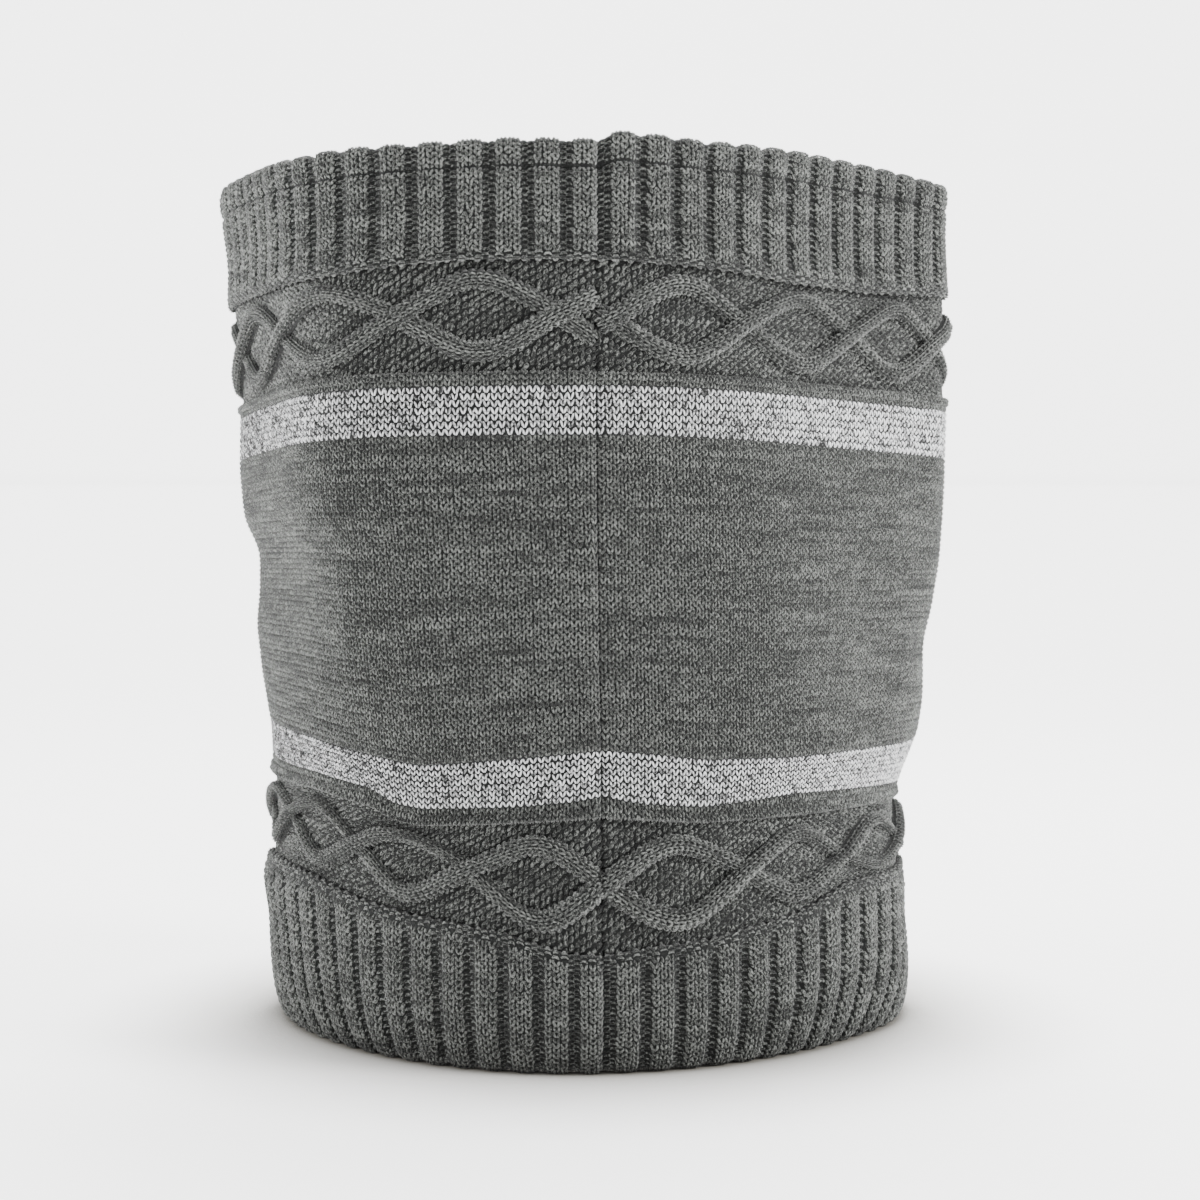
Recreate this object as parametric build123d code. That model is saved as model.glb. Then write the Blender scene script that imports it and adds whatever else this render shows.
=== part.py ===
from build123d import *

import math
import os

# Knitted neck warmer (snood): an open tube of knitted bands with a fleece lining.
# Millimetres, +Z up. The tube stands on its bottom rib; its back seam faces -Y.
# The origin is the centre of the bounding box's bottom.

# ---- overall shape -------------------------------------------------------------
TOP_WIDTH = 220.0  # fold to fold, upper half of the tube
FOOT_WIDTH = 196.0  # fold to fold, bottom rib
DEPTH = 176.0  # back seam to the opposite side
SEAM_X = 4.5  # the back seam stands a little to the right of the middle

# ---- band heights, from the floor up -------------------------------------------
BOTTOM_RIB_HEIGHT = 36.0
LOWER_CABLE_HEIGHT = 32.4
LOWER_WELT_HEIGHT = 4.2
LOWER_STRIPE_HEIGHT = 12.4
MAIN_PANEL_HEIGHT = 85.5
UPPER_STRIPE_HEIGHT = 11.9
UPPER_WELT_HEIGHT = 3.4
UPPER_CABLE_HEIGHT = 30.8
TOP_RIB_HEIGHT = 33.4

FOLD_RADIUS = 12.0
ARC_SHARE = 0.45  # share of the shorter run that a corner's arc takes up

# ---- cloth thicknesses ---------------------------------------------------------
RIB_THICKNESS = 4.0  # folded double
JERSEY_THICKNESS = 2.2
CABLE_GROUND_THICKNESS = 2.4
WELT_THICKNESS = 3.2
LINING_THICKNESS = 2.0
LINKING_THICKNESS = 1.2
LABEL_THICKNESS = 0.7

# ---- how far each outer face lies inside the outline ----------------------------
RIB_INSET = 0.0
JERSEY_INSET = 0.8
WELT_INSET = 0.2
CABLE_GROUND_INSET = 2.0
LAYER_GAP = 0.3  # between cloths that lie on each other
SWING_GAP = 0.6  # between a hanging label's top edge and the stitches above it
LINING_SLACK = 0.9  # the lining hangs loose inside the linking seams

# ---- rims ----------------------------------------------------------------------
CURL_HEIGHT = 16.0  # the bottom rib curls under over this height
CURL_INSET = 6.0
CURL_THICKENING = 0.5
RIM_ROUND = 1.4
TOP_HEM_BELOW_RIM = 7.0
LINING_BOTTOM_Z = 12.0
HEM_THREAD_HEIGHT = 1.2
LINKING_HEIGHT = 3.0

# ---- seams ---------------------------------------------------------------------
SEAM_GAP = 0.8
THREAD_PLAY = 0.1
SEAM_THREAD_DEPTH = 1.4
SEAM_THREAD_INSET = 3.0
LINKING_SEAM_GAP = 5.0  # the linking rows stop at the back seam's allowance

# ---- cables --------------------------------------------------------------------
STRAND_RADIUS = 2.3
STRAND_AMPLITUDE = 9.3
STRAND_OVER_LIFT = 0.8
UPPER_CROSSING_PITCH = 44.7
UPPER_FIRST_CROSSING = 11.4  # from the back seam, leftwards round the tube
LOWER_CROSSING_PITCH = 37.7
LOWER_FIRST_CROSSING = 0.0
STRAND_END_GAP = 3.5  # each strand stops this far from the back seam
STRAIGHTEST_RADIUS = 400.0  # corners that hardly turn get this radius

# ---- care label and side tab -----------------------------------------------------
LABEL_WIDTH = 22.0
LABEL_LENGTH = 36.0
LABEL_TOP_Z = 62.0
LABEL_X = -14.0
LABEL_CLEARANCE = 4.0  # from the lining's inner face at the back seam
TAB_WIDTH = 12.0
TAB_LENGTH = 9.0
TAB_BEHIND_FOLD = 9.0  # distance from the right-hand fold, round the back
TAB_BELOW_LINKING = 1.0
STITCH_REACH = 2.5

# Corner points of the outline as fractions of the half width and half depth, from the
# back seam round the left-hand fold, the far side and the right-hand fold. Arcs round the
# corners off, so they stand a little outside. Both lists pair up point by point.
FOOT_SHAPE = [
    (0.046, -1.008), (-0.225, -0.995), (-0.525, -0.845), (-0.775, -0.58),
    (-0.945, -0.27), (-1.01, 0.07), (-0.87, 0.53), (-0.52, 0.88),
    (0.0, 1.032), (0.52, 0.88), (0.87, 0.53), (1.012, 0.09),
    (0.965, -0.24), (0.86, -0.43), (0.635, -0.715), (0.345, -0.925),
]  # fmt: skip
TOP_SHAPE = [
    (0.041, -1.002), (-0.245, -1.01), (-0.52, -1.0), (-0.722, -0.83),
    (-0.875, -0.43), (-1.014, 0.023), (-0.82, 0.53), (-0.485, 0.9),
    (0.0, 1.036), (0.485, 0.9), (0.82, 0.53), (1.016, 0.08),
    (0.855, -0.16), (0.63, -0.48), (0.4, -0.77), (0.232, -0.908),
]  # fmt: skip
LEFT_FOLD, RIGHT_FOLD = 5, 11  # where the folds stand in both lists

# ---- heights of the band edges ---------------------------------------------------
Z_RIB_TOP = BOTTOM_RIB_HEIGHT
Z_CABLE_TOP = Z_RIB_TOP + LOWER_CABLE_HEIGHT
Z_WELT_TOP = Z_CABLE_TOP + LOWER_WELT_HEIGHT
Z_PANEL_BOTTOM = Z_WELT_TOP + LOWER_STRIPE_HEIGHT
Z_PANEL_TOP = Z_PANEL_BOTTOM + MAIN_PANEL_HEIGHT
Z_STRIPE_TOP = Z_PANEL_TOP + UPPER_STRIPE_HEIGHT
Z_UPPER_CABLE = Z_STRIPE_TOP + UPPER_WELT_HEIGHT
Z_TOP_RIB = Z_UPPER_CABLE + UPPER_CABLE_HEIGHT
Z_RIM = Z_TOP_RIB + TOP_RIB_HEIGHT

# ---- layers inside the outer cloth -------------------------------------------------
DEEPEST_KNIT = max(
    RIB_INSET + RIB_THICKNESS,
    CABLE_GROUND_INSET + CABLE_GROUND_THICKNESS,
    WELT_INSET + WELT_THICKNESS,
    JERSEY_INSET + JERSEY_THICKNESS,
)
LINKING_INSET = DEEPEST_KNIT + LAYER_GAP
LINING_INSET = LINKING_INSET + LINKING_THICKNESS + LINING_SLACK
LINING_INNER = LINING_INSET + LINING_THICKNESS


def blend_at(z):
    """0 on the foot's outline, 1 on the top's, smooth between the rib and the upper stripe."""
    t = (z - Z_RIB_TOP) / (Z_STRIPE_TOP - Z_RIB_TOP)
    t = min(max(t, 0.0), 1.0)
    return t * t * (3 - 2 * t)


def outline_points(z, inset):
    """The outline's points at height z, each moved inward by inset along its normal."""
    w = blend_at(z)
    half_depth = DEPTH / 2
    points = []
    for foot, top in zip(FOOT_SHAPE, TOP_SHAPE):
        x = (1 - w) * foot[0] * FOOT_WIDTH / 2 + w * top[0] * TOP_WIDTH / 2
        y = ((1 - w) * foot[1] + w * top[1]) * half_depth
        points.append((x, y))
    moved = []
    for i, (x, y) in enumerate(points):
        before = points[i - 1]
        after = points[(i + 1) % len(points)]
        tangent_x, tangent_y = after[0] - before[0], after[1] - before[1]
        length = math.hypot(tangent_x, tangent_y)
        # the list runs clockwise from above, so the inward side is on the right
        moved.append((x + inset * tangent_y / length, y - inset * tangent_x / length))
    return moved


def corner_radius(before, here, after):
    """A corner's radius: its share of the shorter run over the tangent of half the turn."""
    run_in, run_out = here - before, after - here
    half_turn = math.radians(run_in.get_angle(run_out)) / 2
    straightest = ARC_SHARE * min(run_in.length, run_out.length) / STRAIGHTEST_RADIUS
    return ARC_SHARE * min(run_in.length, run_out.length) / max(math.tan(half_turn), straightest)


def outline_wire(z, inset):
    """The outline as straight runs joined by tangent arcs, tighter at the two folds."""
    points = [Vector(x, y, z) for x, y in outline_points(z, inset)]
    following = points[1:] + points[:1]
    radii = [corner_radius(*three) for three in zip([points[-1]] + points[:-1], points, following)]
    for fold in (LEFT_FOLD, RIGHT_FOLD):
        radii[fold] = min(radii[fold], FOLD_RADIUS)
    return FilletPolyline(*points, radius=radii, close=True).wire()


def column(profile):
    """A solid column whose outline follows (z, inset) pairs from the bottom up."""
    return Solid.make_loft([outline_wire(z, inset) for z, inset in profile], ruled=True)


def seam_cutter(width):
    """A tall slab through the wall at the back seam."""
    reach = DEPTH / 2
    slab = Box(width, reach, 2 * Z_RIM, align=(Align.CENTER, Align.MAX, Align.CENTER))
    return Pos(SEAM_X, -DEPTH / 4, 0) * slab


def ring(outer, inner, seam=SEAM_GAP):
    """A band of cloth between two profiles, open at the back seam."""
    band = column(outer) - column(inner)
    if seam:
        band = band - seam_cutter(seam)
    return band


def straight_ring(z0, z1, inset, thickness, steps=1, seam=SEAM_GAP):
    """A band of even thickness, with as many steps as its outline's change needs."""
    levels = [z0 + (z1 - z0) * i / steps for i in range(steps + 1)]
    outer = [(z, inset) for z in levels]
    inner = [(z, inset + thickness) for z in levels]
    return ring(outer, inner, seam)


# ---- knitted bands ----------------------------------------------------------------
def curl(z):
    """How far the bottom rib's outer face has curled inward at height z: a circle's quarter."""
    t = max(0.0, 1 - z / CURL_HEIGHT)
    return CURL_INSET * (1 - math.sqrt(1 - t * t))


def make_bottom_rib():
    levels = [0.0, 1.5, 4.0, 8.0, LINING_BOTTOM_Z, CURL_HEIGHT, Z_RIB_TOP]
    outer = [(z, RIB_INSET + curl(z)) for z in levels]
    inner = [(z, RIB_INSET + RIB_THICKNESS + (1 + CURL_THICKENING) * curl(z) / 2) for z in levels]
    return ring(outer, inner)


def make_top_rib():
    levels = [Z_TOP_RIB, Z_RIM - 2 * RIM_ROUND, Z_RIM - RIM_ROUND / 2, Z_RIM]
    rounding = [0.0, 0.0, RIM_ROUND / 3, RIM_ROUND]
    outer = [(z, RIB_INSET + r) for z, r in zip(levels, rounding)]
    inner = [(z, RIB_INSET + RIB_THICKNESS - r) for z, r in zip(levels, rounding)]
    return ring(outer, inner)


def make_jersey(z0, z1, steps):
    return straight_ring(z0, z1, JERSEY_INSET, JERSEY_THICKNESS, steps)


def make_welt(z0, z1):
    """A rolled row: proud in the middle of its height."""
    middle = (z0 + z1) / 2
    outer = [(z0, JERSEY_INSET), (middle, WELT_INSET), (z1, JERSEY_INSET)]
    inner = [(z, WELT_INSET + WELT_THICKNESS) for z in (z0, middle, z1)]
    return ring(outer, inner)


def make_cable_ground(z0, z1):
    return straight_ring(z0, z1, CABLE_GROUND_INSET, CABLE_GROUND_THICKNESS)


def make_linking(z):
    """The row of linking stitches behind the joint of two bands."""
    half = LINKING_HEIGHT / 2
    return straight_ring(z - half, z + half, LINKING_INSET, LINKING_THICKNESS, seam=LINKING_SEAM_GAP)


# ---- cable strands ----------------------------------------------------------------
def distances_round(guide, first_crossing, step):
    """Distances from the back seam, leftwards, of a strand's corners and its two ends."""
    start, end = STRAND_END_GAP, guide.length - STRAND_END_GAP
    number = range(math.ceil((start - first_crossing) / step), math.ceil((end - first_crossing) / step))
    corners = [first_crossing + i * step for i in number]
    return [start, *(at for at in corners if start + step / 2 < at < end - step / 2), end]


def seam_distance(guide):
    """How far along the guide the back seam lies, as the guide starts beside its corner."""
    seam_y = outline_points(0, 0)[0][1]
    slab = Pos(SEAM_X, seam_y, 0) * Box(2 * SEAM_GAP, DEPTH / 2, 4 * Z_RIM)
    crossing = (guide & slab).edges()[0] @ 0.5
    return guide.param_at_point(crossing) * guide.length


def strand_points(z_middle, first_crossing, pitch, side):
    """Corner points of one strand, about four to each stretch between crossings.

    side is +1 for the strand that rises leftwards from the first crossing, -1 for the
    other. Seen from outside, the strand that rises to the right always lies on top."""
    guide = outline_wire(z_middle, CABLE_GROUND_INSET)
    seam = seam_distance(guide)
    points = []
    for distance in distances_round(guide, first_crossing, pitch / 4):
        at = (seam + distance) % guide.length
        place = guide.position_at(at, position_mode=PositionMode.LENGTH)
        along = guide.tangent_at(at, position_mode=PositionMode.LENGTH)
        outward = Vector(along.Y, -along.X, 0)
        if outward.dot(Vector(place.X, place.Y, 0)) < 0:
            outward = -outward
        phase = math.pi * (distance - first_crossing) / pitch
        height = side * STRAND_AMPLITUDE * math.sin(phase)
        lift = -side * STRAND_OVER_LIFT * math.cos(phase)
        points.append(place + outward.normalized() * lift + Vector(0, 0, height))
    return points


def make_strand(z_middle, first_crossing, pitch, side):
    points = strand_points(z_middle, first_crossing, pitch, side)
    radii = [corner_radius(*three) for three in zip(points, points[1:], points[2:])]
    path = FilletPolyline(*points, radius=radii)
    start = Plane(origin=path @ 0, z_dir=path % 0)
    return sweep(start * Circle(STRAND_RADIUS), path=path)


# ---- lining and seams -------------------------------------------------------------
LINING_TOP_Z = Z_RIM - TOP_HEM_BELOW_RIM + HEM_THREAD_HEIGHT


def make_lining():
    """A fleece tube inside, from the bottom hem to the top hem."""
    return straight_ring(LINING_BOTTOM_Z, LINING_TOP_Z, LINING_INSET, LINING_THICKNESS, steps=8)


def make_hem_thread(z0, knit_inner):
    """Stitches that hold the lining's edge to the rib, between the two cloths."""
    start = knit_inner + THREAD_PLAY
    thickness = LINING_INSET - THREAD_PLAY - start
    return straight_ring(z0, z0 + HEM_THREAD_HEIGHT, start, thickness, seam=LINKING_SEAM_GAP)


def seam_strip(levels, inset_at, depth):
    """A thread that fills the seam's gap, as a thin strip following the wall."""
    front = []
    back = []
    for z in levels:
        skin = outline_points(z, 0.0)[0][1]
        front.append((skin + inset_at(z), z))
        back.append((skin + inset_at(z) + depth, z))
    width = SEAM_GAP - 2 * THREAD_PLAY
    side = Polyline(*front, *reversed(back), close=True)
    sketch = Plane.YZ * make_face(side)
    return Pos(SEAM_X - width / 2, 0, 0) * extrude(sketch, width)


def make_back_seam_thread():
    levels = [0.6, 4.0, 8.0, CURL_HEIGHT, Z_RIB_TOP, Z_PANEL_BOTTOM]
    levels += [(Z_PANEL_BOTTOM + Z_PANEL_TOP) / 2, Z_PANEL_TOP, Z_RIM - RIM_ROUND]
    return seam_strip(levels, lambda z: curl(z) + SEAM_THREAD_INSET - SEAM_THREAD_DEPTH, SEAM_THREAD_DEPTH)


def make_lining_seam_thread():
    levels = [LINING_BOTTOM_Z, Z_RIB_TOP, Z_PANEL_BOTTOM, Z_PANEL_TOP, LINING_TOP_Z]
    inset = LINING_INSET + THREAD_PLAY
    return seam_strip(levels, lambda z: inset, LINING_THICKNESS - 2 * THREAD_PLAY)


# ---- care label and side tab --------------------------------------------------------
LABEL_Y = -DEPTH / 2 + LINING_INNER + LABEL_CLEARANCE


def make_care_label():
    """A blank woven label that hangs from its top edge inside the tube."""
    label = Box(LABEL_WIDTH, LABEL_THICKNESS, LABEL_LENGTH, align=(Align.CENTER, Align.MIN, Align.MAX))
    return Pos(LABEL_X, LABEL_Y, LABEL_TOP_Z) * label


def make_label_stitch():
    """The row of stitches that holds the label's top edge to the lining."""
    bar = Box(LABEL_WIDTH, 2 * LABEL_CLEARANCE, HEM_THREAD_HEIGHT, align=(Align.CENTER, Align.MAX, Align.MIN))
    bar = Pos(LABEL_X, LABEL_Y + LABEL_THICKNESS, LABEL_TOP_Z + SWING_GAP) * bar
    levels = [(LABEL_TOP_Z - 1, LINING_INNER + THREAD_PLAY), (LABEL_TOP_Z + 4, LINING_INNER + THREAD_PLAY)]
    return bar & column(levels)


TAB_TOP_Z = Z_RIB_TOP - TAB_BELOW_LINKING


def tab_box(length, z_top, thickness, out):
    """A flat box that hangs off the rib's outer face, just behind the right-hand fold."""
    points = outline_points(Z_RIB_TOP, RIB_INSET)
    fold, behind = Vector(*points[RIGHT_FOLD]), Vector(*points[RIGHT_FOLD - 1])
    along = (behind - fold).normalized()
    outward = Vector(along.Y, -along.X, 0)
    place = fold + along * TAB_BEHIND_FOLD + outward * out
    plane = Plane(origin=place + Vector(0, 0, z_top), x_dir=along, z_dir=(0, 0, 1))
    # the plane's Y points inward, so the box reaches inward from its outer face
    return plane * Box(TAB_WIDTH, thickness, length, align=(Align.CENTER, Align.MIN, Align.MAX))


def make_side_tab():
    """A blank woven tab caught in the linking of the bottom rib."""
    return tab_box(TAB_LENGTH, TAB_TOP_Z, LABEL_THICKNESS, LABEL_THICKNESS + LAYER_GAP)


def make_side_tab_stitch():
    """The stitched edge that the tab hangs from."""
    z_top = TAB_TOP_Z + SWING_GAP + HEM_THREAD_HEIGHT
    bar = tab_box(HEM_THREAD_HEIGHT, z_top, STITCH_REACH + LABEL_THICKNESS, LABEL_THICKNESS + LAYER_GAP)
    return bar - column([(z, RIB_INSET - THREAD_PLAY) for z in (0.0, Z_RIB_TOP, Z_CABLE_TOP)])


# ---- the whole object ----------------------------------------------------------------
def all_parts():
    lower_cable = ((Z_RIB_TOP + Z_CABLE_TOP) / 2, LOWER_FIRST_CROSSING, LOWER_CROSSING_PITCH)
    upper_cable = ((Z_UPPER_CABLE + Z_TOP_RIB) / 2, UPPER_FIRST_CROSSING, UPPER_CROSSING_PITCH)
    rib_inner = RIB_INSET + RIB_THICKNESS
    bottom_hem_inner = rib_inner + (1 + CURL_THICKENING) * curl(LINING_BOTTOM_Z) / 2
    return {
        "bottom_rib_band": make_bottom_rib(),
        "bottom_hem_stitch": make_hem_thread(LINING_BOTTOM_Z, bottom_hem_inner),
        "lower_rib_linking": make_linking(Z_RIB_TOP),
        "lower_cable_ground": make_cable_ground(Z_RIB_TOP, Z_CABLE_TOP),
        "lower_cable_strand_a": make_strand(*lower_cable, 1),
        "lower_cable_strand_b": make_strand(*lower_cable, -1),
        "lower_panel_linking": make_linking(Z_CABLE_TOP),
        "lower_welt": make_welt(Z_CABLE_TOP, Z_WELT_TOP),
        "lower_stripe": make_jersey(Z_WELT_TOP, Z_PANEL_BOTTOM, 1),
        "main_panel": make_jersey(Z_PANEL_BOTTOM, Z_PANEL_TOP, 5),
        "upper_stripe": make_jersey(Z_PANEL_TOP, Z_STRIPE_TOP, 1),
        "upper_welt": make_welt(Z_STRIPE_TOP, Z_UPPER_CABLE),
        "upper_panel_linking": make_linking(Z_UPPER_CABLE),
        "upper_cable_ground": make_cable_ground(Z_UPPER_CABLE, Z_TOP_RIB),
        "upper_cable_strand_a": make_strand(*upper_cable, 1),
        "upper_cable_strand_b": make_strand(*upper_cable, -1),
        "upper_rib_linking": make_linking(Z_TOP_RIB),
        "top_rib_band": make_top_rib(),
        "top_hem_stitch": make_hem_thread(Z_RIM - TOP_HEM_BELOW_RIM, rib_inner),
        "back_seam_thread": make_back_seam_thread(),
        "lining": make_lining(),
        "lining_seam_thread": make_lining_seam_thread(),
        "care_label": make_care_label(),
        "label_stitch": make_label_stitch(),
        "side_tab": make_side_tab(),
        "side_tab_stitch": make_side_tab_stitch(),
    }


def main():
    os.makedirs("parts", exist_ok=True)
    for node, shape in all_parts().items():
        export_step(shape, f"parts/{node}.step")
        print(node, round(shape.volume, 1), shape.is_valid)


if __name__ == "__main__":
    main()
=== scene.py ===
import math

import bmesh
import bpy
import numpy as np
from bpy.props import FloatProperty, FloatVectorProperty, IntProperty, PointerProperty
from bpy.types import Operator, Panel, PropertyGroup
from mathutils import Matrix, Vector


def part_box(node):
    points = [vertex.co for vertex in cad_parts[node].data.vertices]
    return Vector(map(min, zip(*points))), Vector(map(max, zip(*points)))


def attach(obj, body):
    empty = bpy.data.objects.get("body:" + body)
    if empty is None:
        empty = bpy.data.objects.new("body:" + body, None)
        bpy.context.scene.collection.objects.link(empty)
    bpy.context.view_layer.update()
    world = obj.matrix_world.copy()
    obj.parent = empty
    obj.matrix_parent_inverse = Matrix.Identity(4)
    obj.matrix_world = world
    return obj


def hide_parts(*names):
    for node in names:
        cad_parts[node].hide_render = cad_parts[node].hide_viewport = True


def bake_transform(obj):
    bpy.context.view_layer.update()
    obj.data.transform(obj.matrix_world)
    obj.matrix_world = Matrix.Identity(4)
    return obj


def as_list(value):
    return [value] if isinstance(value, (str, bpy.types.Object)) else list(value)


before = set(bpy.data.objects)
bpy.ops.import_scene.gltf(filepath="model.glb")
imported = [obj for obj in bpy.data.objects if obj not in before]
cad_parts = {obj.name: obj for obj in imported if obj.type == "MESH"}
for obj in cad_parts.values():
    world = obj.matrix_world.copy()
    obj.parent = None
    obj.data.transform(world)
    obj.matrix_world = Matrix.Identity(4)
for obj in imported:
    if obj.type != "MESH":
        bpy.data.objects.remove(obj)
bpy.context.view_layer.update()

bl_info = {
    "name": "Knitted Neck Warmer",
    "version": (1, 0, 0),
    "blender": (4, 5, 0),
    "location": "3D View > Sidebar > Neck Warmer",
    "description": "An open knitted tube with ribbed rims, cable bands and metallic stripes",
    "category": "Add Mesh",
}

MM = 0.001
SEED = 41


# ---------------------------------------------------------------- places from the frame
def bottom_of(node):
    """Height of a CAD node's lowest point."""
    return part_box(node)[0][2]


def top_of(node):
    """Height of a CAD node's highest point."""
    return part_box(node)[1][2]


Z_FLOOR = bottom_of("bottom_rib_band")
Z_RIB_TOP = top_of("bottom_rib_band")
Z_PANEL_BOTTOM = bottom_of("main_panel")
Z_PANEL_TOP = top_of("main_panel")
Z_STRIPE_TOP = top_of("upper_stripe")
Z_TOP_RIB = bottom_of("top_rib_band")
Z_RIM = top_of("top_rib_band")
HALF_DEPTH = (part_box("main_panel")[1][1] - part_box("main_panel")[0][1]) / 2

# ---------------------------------------------------------------- shape of the tube
# Corner points of the outline as fractions of the half width and half depth, from the
# back seam round the left-hand fold, the far side and the right-hand fold.
FOOT_SHAPE = [
    (0.046, -1.008), (-0.225, -0.995), (-0.525, -0.845), (-0.775, -0.58), (-0.945, -0.27),
    (-1.0, 0.0), (-1.01, 0.13), (-0.87, 0.53), (-0.52, 0.88), (0.0, 1.032), (0.52, 0.88),
    (0.87, 0.53), (1.005, 0.18), (1.01, 0.02), (0.965, -0.24), (0.86, -0.43),
    (0.635, -0.715), (0.345, -0.925),
]  # fmt: skip
TOP_SHAPE = [
    (0.041, -1.002), (-0.245, -1.01), (-0.52, -1.0), (-0.722, -0.83), (-0.875, -0.43),
    (-0.995, -0.06), (-1.0, 0.1), (-0.82, 0.53), (-0.485, 0.9), (0.0, 1.036), (0.485, 0.9),
    (0.82, 0.53), (0.995, 0.16), (1.0, 0.02), (0.87, -0.16), (0.63, -0.48),
    (0.4, -0.77), (0.232, -0.908),
]  # fmt: skip
# Fold to middle, in millimetres, against the height: the two side silhouettes.
LEFT_HALF_WIDTH = [
    (0, 96.6), (18, 96.8), (30, 97.0), (42, 98.8), (54, 96.4), (67, 96.8), (87, 97.8),
    (103, 100.8), (118, 102.6), (128, 101.6), (140, 101.6), (150, 106.2), (165, 107.6),
    (189, 107.2), (201, 108.0), (214, 110.0), (226, 109.8), (238, 111.4), (250, 112.6),
]  # fmt: skip
RIGHT_HALF_WIDTH = [
    (0, 98.5), (18, 97.2), (30, 95.8), (42, 95.6), (54, 95.6), (66, 94.2), (72, 96.5),
    (84, 101.5), (94, 103.0), (112, 104.2), (122, 106.9), (137, 109.5), (156, 111.0),
    (183, 112.0), (201, 110.8), (214, 111.6), (238, 110.8), (250, 111.2),
]  # fmt: skip
# Soft hollows and swells in the cloth: turn, height, spreads in turn and height, depth (mm).
DENTS = [
    (0.185, 118, 0.050, 26, -3.2), (0.125, 122, 0.012, 24, 1.0), (0.215, 142, 0.03, 6, -1.6),
    (0.83, 116, 0.05, 24, -1.6), (0.93, 130, 0.05, 30, 0.8), (0.78, 98, 0.03, 12, 1.0),
    (0.45, 120, 0.06, 30, -2.5), (0.62, 100, 0.05, 25, -2.0), (0.55, 150, 0.05, 20, 1.2),
]  # fmt: skip
# How far the material at a height has moved up, in millimetres, against the turn.
EDGE_SHIFTS = {
    0: [(0, 0), (1, 0)],
    36: [
        (0, -5), (0.019, -4), (0.046, 1), (0.072, 3), (0.1, 4.6), (0.13, 7), (0.168, 11),
        (0.22, 13), (0.265, 12), (0.34, 6), (0.5, 3), (0.74, 10), (0.856, 9), (0.894, 3),
        (0.953, -2), (0.978, -3), (1, -5),
    ],
    52.2: [
        (0, -1.7), (0.04, -0.8), (0.065, 1.9), (0.1, 3.5), (0.134, 6), (0.165, 9.5), (0.2, 12),
        (0.25, 12), (0.34, 5), (0.5, 1), (0.76, 4), (0.857, 1), (0.926, 0.8), (0.956, -1.1), (1, -1.7),
    ],
    68.4: [
        (0, 0), (0.09, -3.4), (0.105, -2.4), (0.12, 1), (0.165, 3.8), (0.26, 5), (0.36, 1), (0.5, 0),
        (0.76, -2.4), (0.95, -2.2), (1, 0),
    ],
    72.6: [
        (0, 1.2), (0.012, -0.3), (0.04, -1.8), (0.09, -3.2), (0.105, -2.2), (0.12, 1.6),
        (0.165, 4.2), (0.26, 6), (0.36, 1.5), (0.5, 0),
        (0.76, -2.6), (0.895, -0.7), (0.95, -2.6), (0.98, -1.2), (0.99, -0.2), (1, 1.2),
    ],
    85: [
        (0, 0.7), (0.03, -1), (0.088, -4), (0.12, -1.6), (0.165, 1.4), (0.25, 4), (0.5, 0),
        (0.76, -2), (0.895, -3),
        (0.95, -2.3), (0.98, -0.2), (1, 0.7),
    ],
    170.5: [(0, -1.5), (0.25, -3.3), (0.5, 0), (0.76, -2), (1, -1.5)],
    182.4: [(0, -0.4), (0.25, -2.4), (0.5, 0), (0.76, 0.6), (1, -0.4)],
    201.2: [
        (0, -1.5), (0.017, -0.4), (0.088, -1.2), (0.172, -3.2), (0.25, -3), (0.5, 0),
        (0.778, 1.8), (0.848, 0.8), (0.924, -0.2), (0.994, -2), (1, -1.5),
    ],
    216.6: [
        (0, -1.2), (0.06, -1.6), (0.12, -4.6), (0.157, -4.6), (0.268, -2.6), (0.5, 0),
        (0.762, 2.4), (0.838, -1.6), (0.898, -2.6), (0.942, -1.6), (1, -1.2),
    ],
    250: [
        (0, -3.8), (0.012, -3.6), (0.041, -3.6), (0.084, -5.2), (0.138, -5.6), (0.2, -3),
        (0.251, -0.8), (0.5, 0), (0.764, 2), (0.824, 1.8), (0.886, 0.8), (0.95, -1.6),
        (0.985, -1.2), (0.993, -1.2), (1, -3.8),
    ],
}  # fmt: skip

SEAM_GROOVE = 1.3 * MM
SEAM_GROOVE_WIDTH = 0.7 * MM
SEAM_ALLOWANCE = 5.6 * MM
SEAM_RIDGE = 0.35 * MM

LEVELS = 96
TURN_STEPS = 1536
TABLE_LOW, TABLE_HIGH = -0.004, 0.262


def through(knots, x, reach):
    """Straight lines through (x, value) knots, rounded by a mean over reach each way."""
    places, values = np.array(knots, float).T
    offsets = np.linspace(-1, 1, 9)
    weights = (1 - np.abs(offsets)) + 0.1
    total = sum(w * np.interp(x + o * reach, places, values) for o, w in zip(offsets, weights))
    return total / weights.sum()


def closed_curve(points, count):
    """A closed quadratic B-spline of corner points, from the stretch nearest the first one."""
    corners = np.array(points)
    t = np.arange(count) / count * len(corners) - 0.5
    i = np.floor(t).astype(int)
    f = (t - i)[:, None]
    a, b, c = (corners[(i + k) % len(corners)] for k in range(3))
    return (1 - f) ** 2 / 2 * a + (0.5 + f * (1 - f)) * b + f**2 / 2 * c


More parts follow.
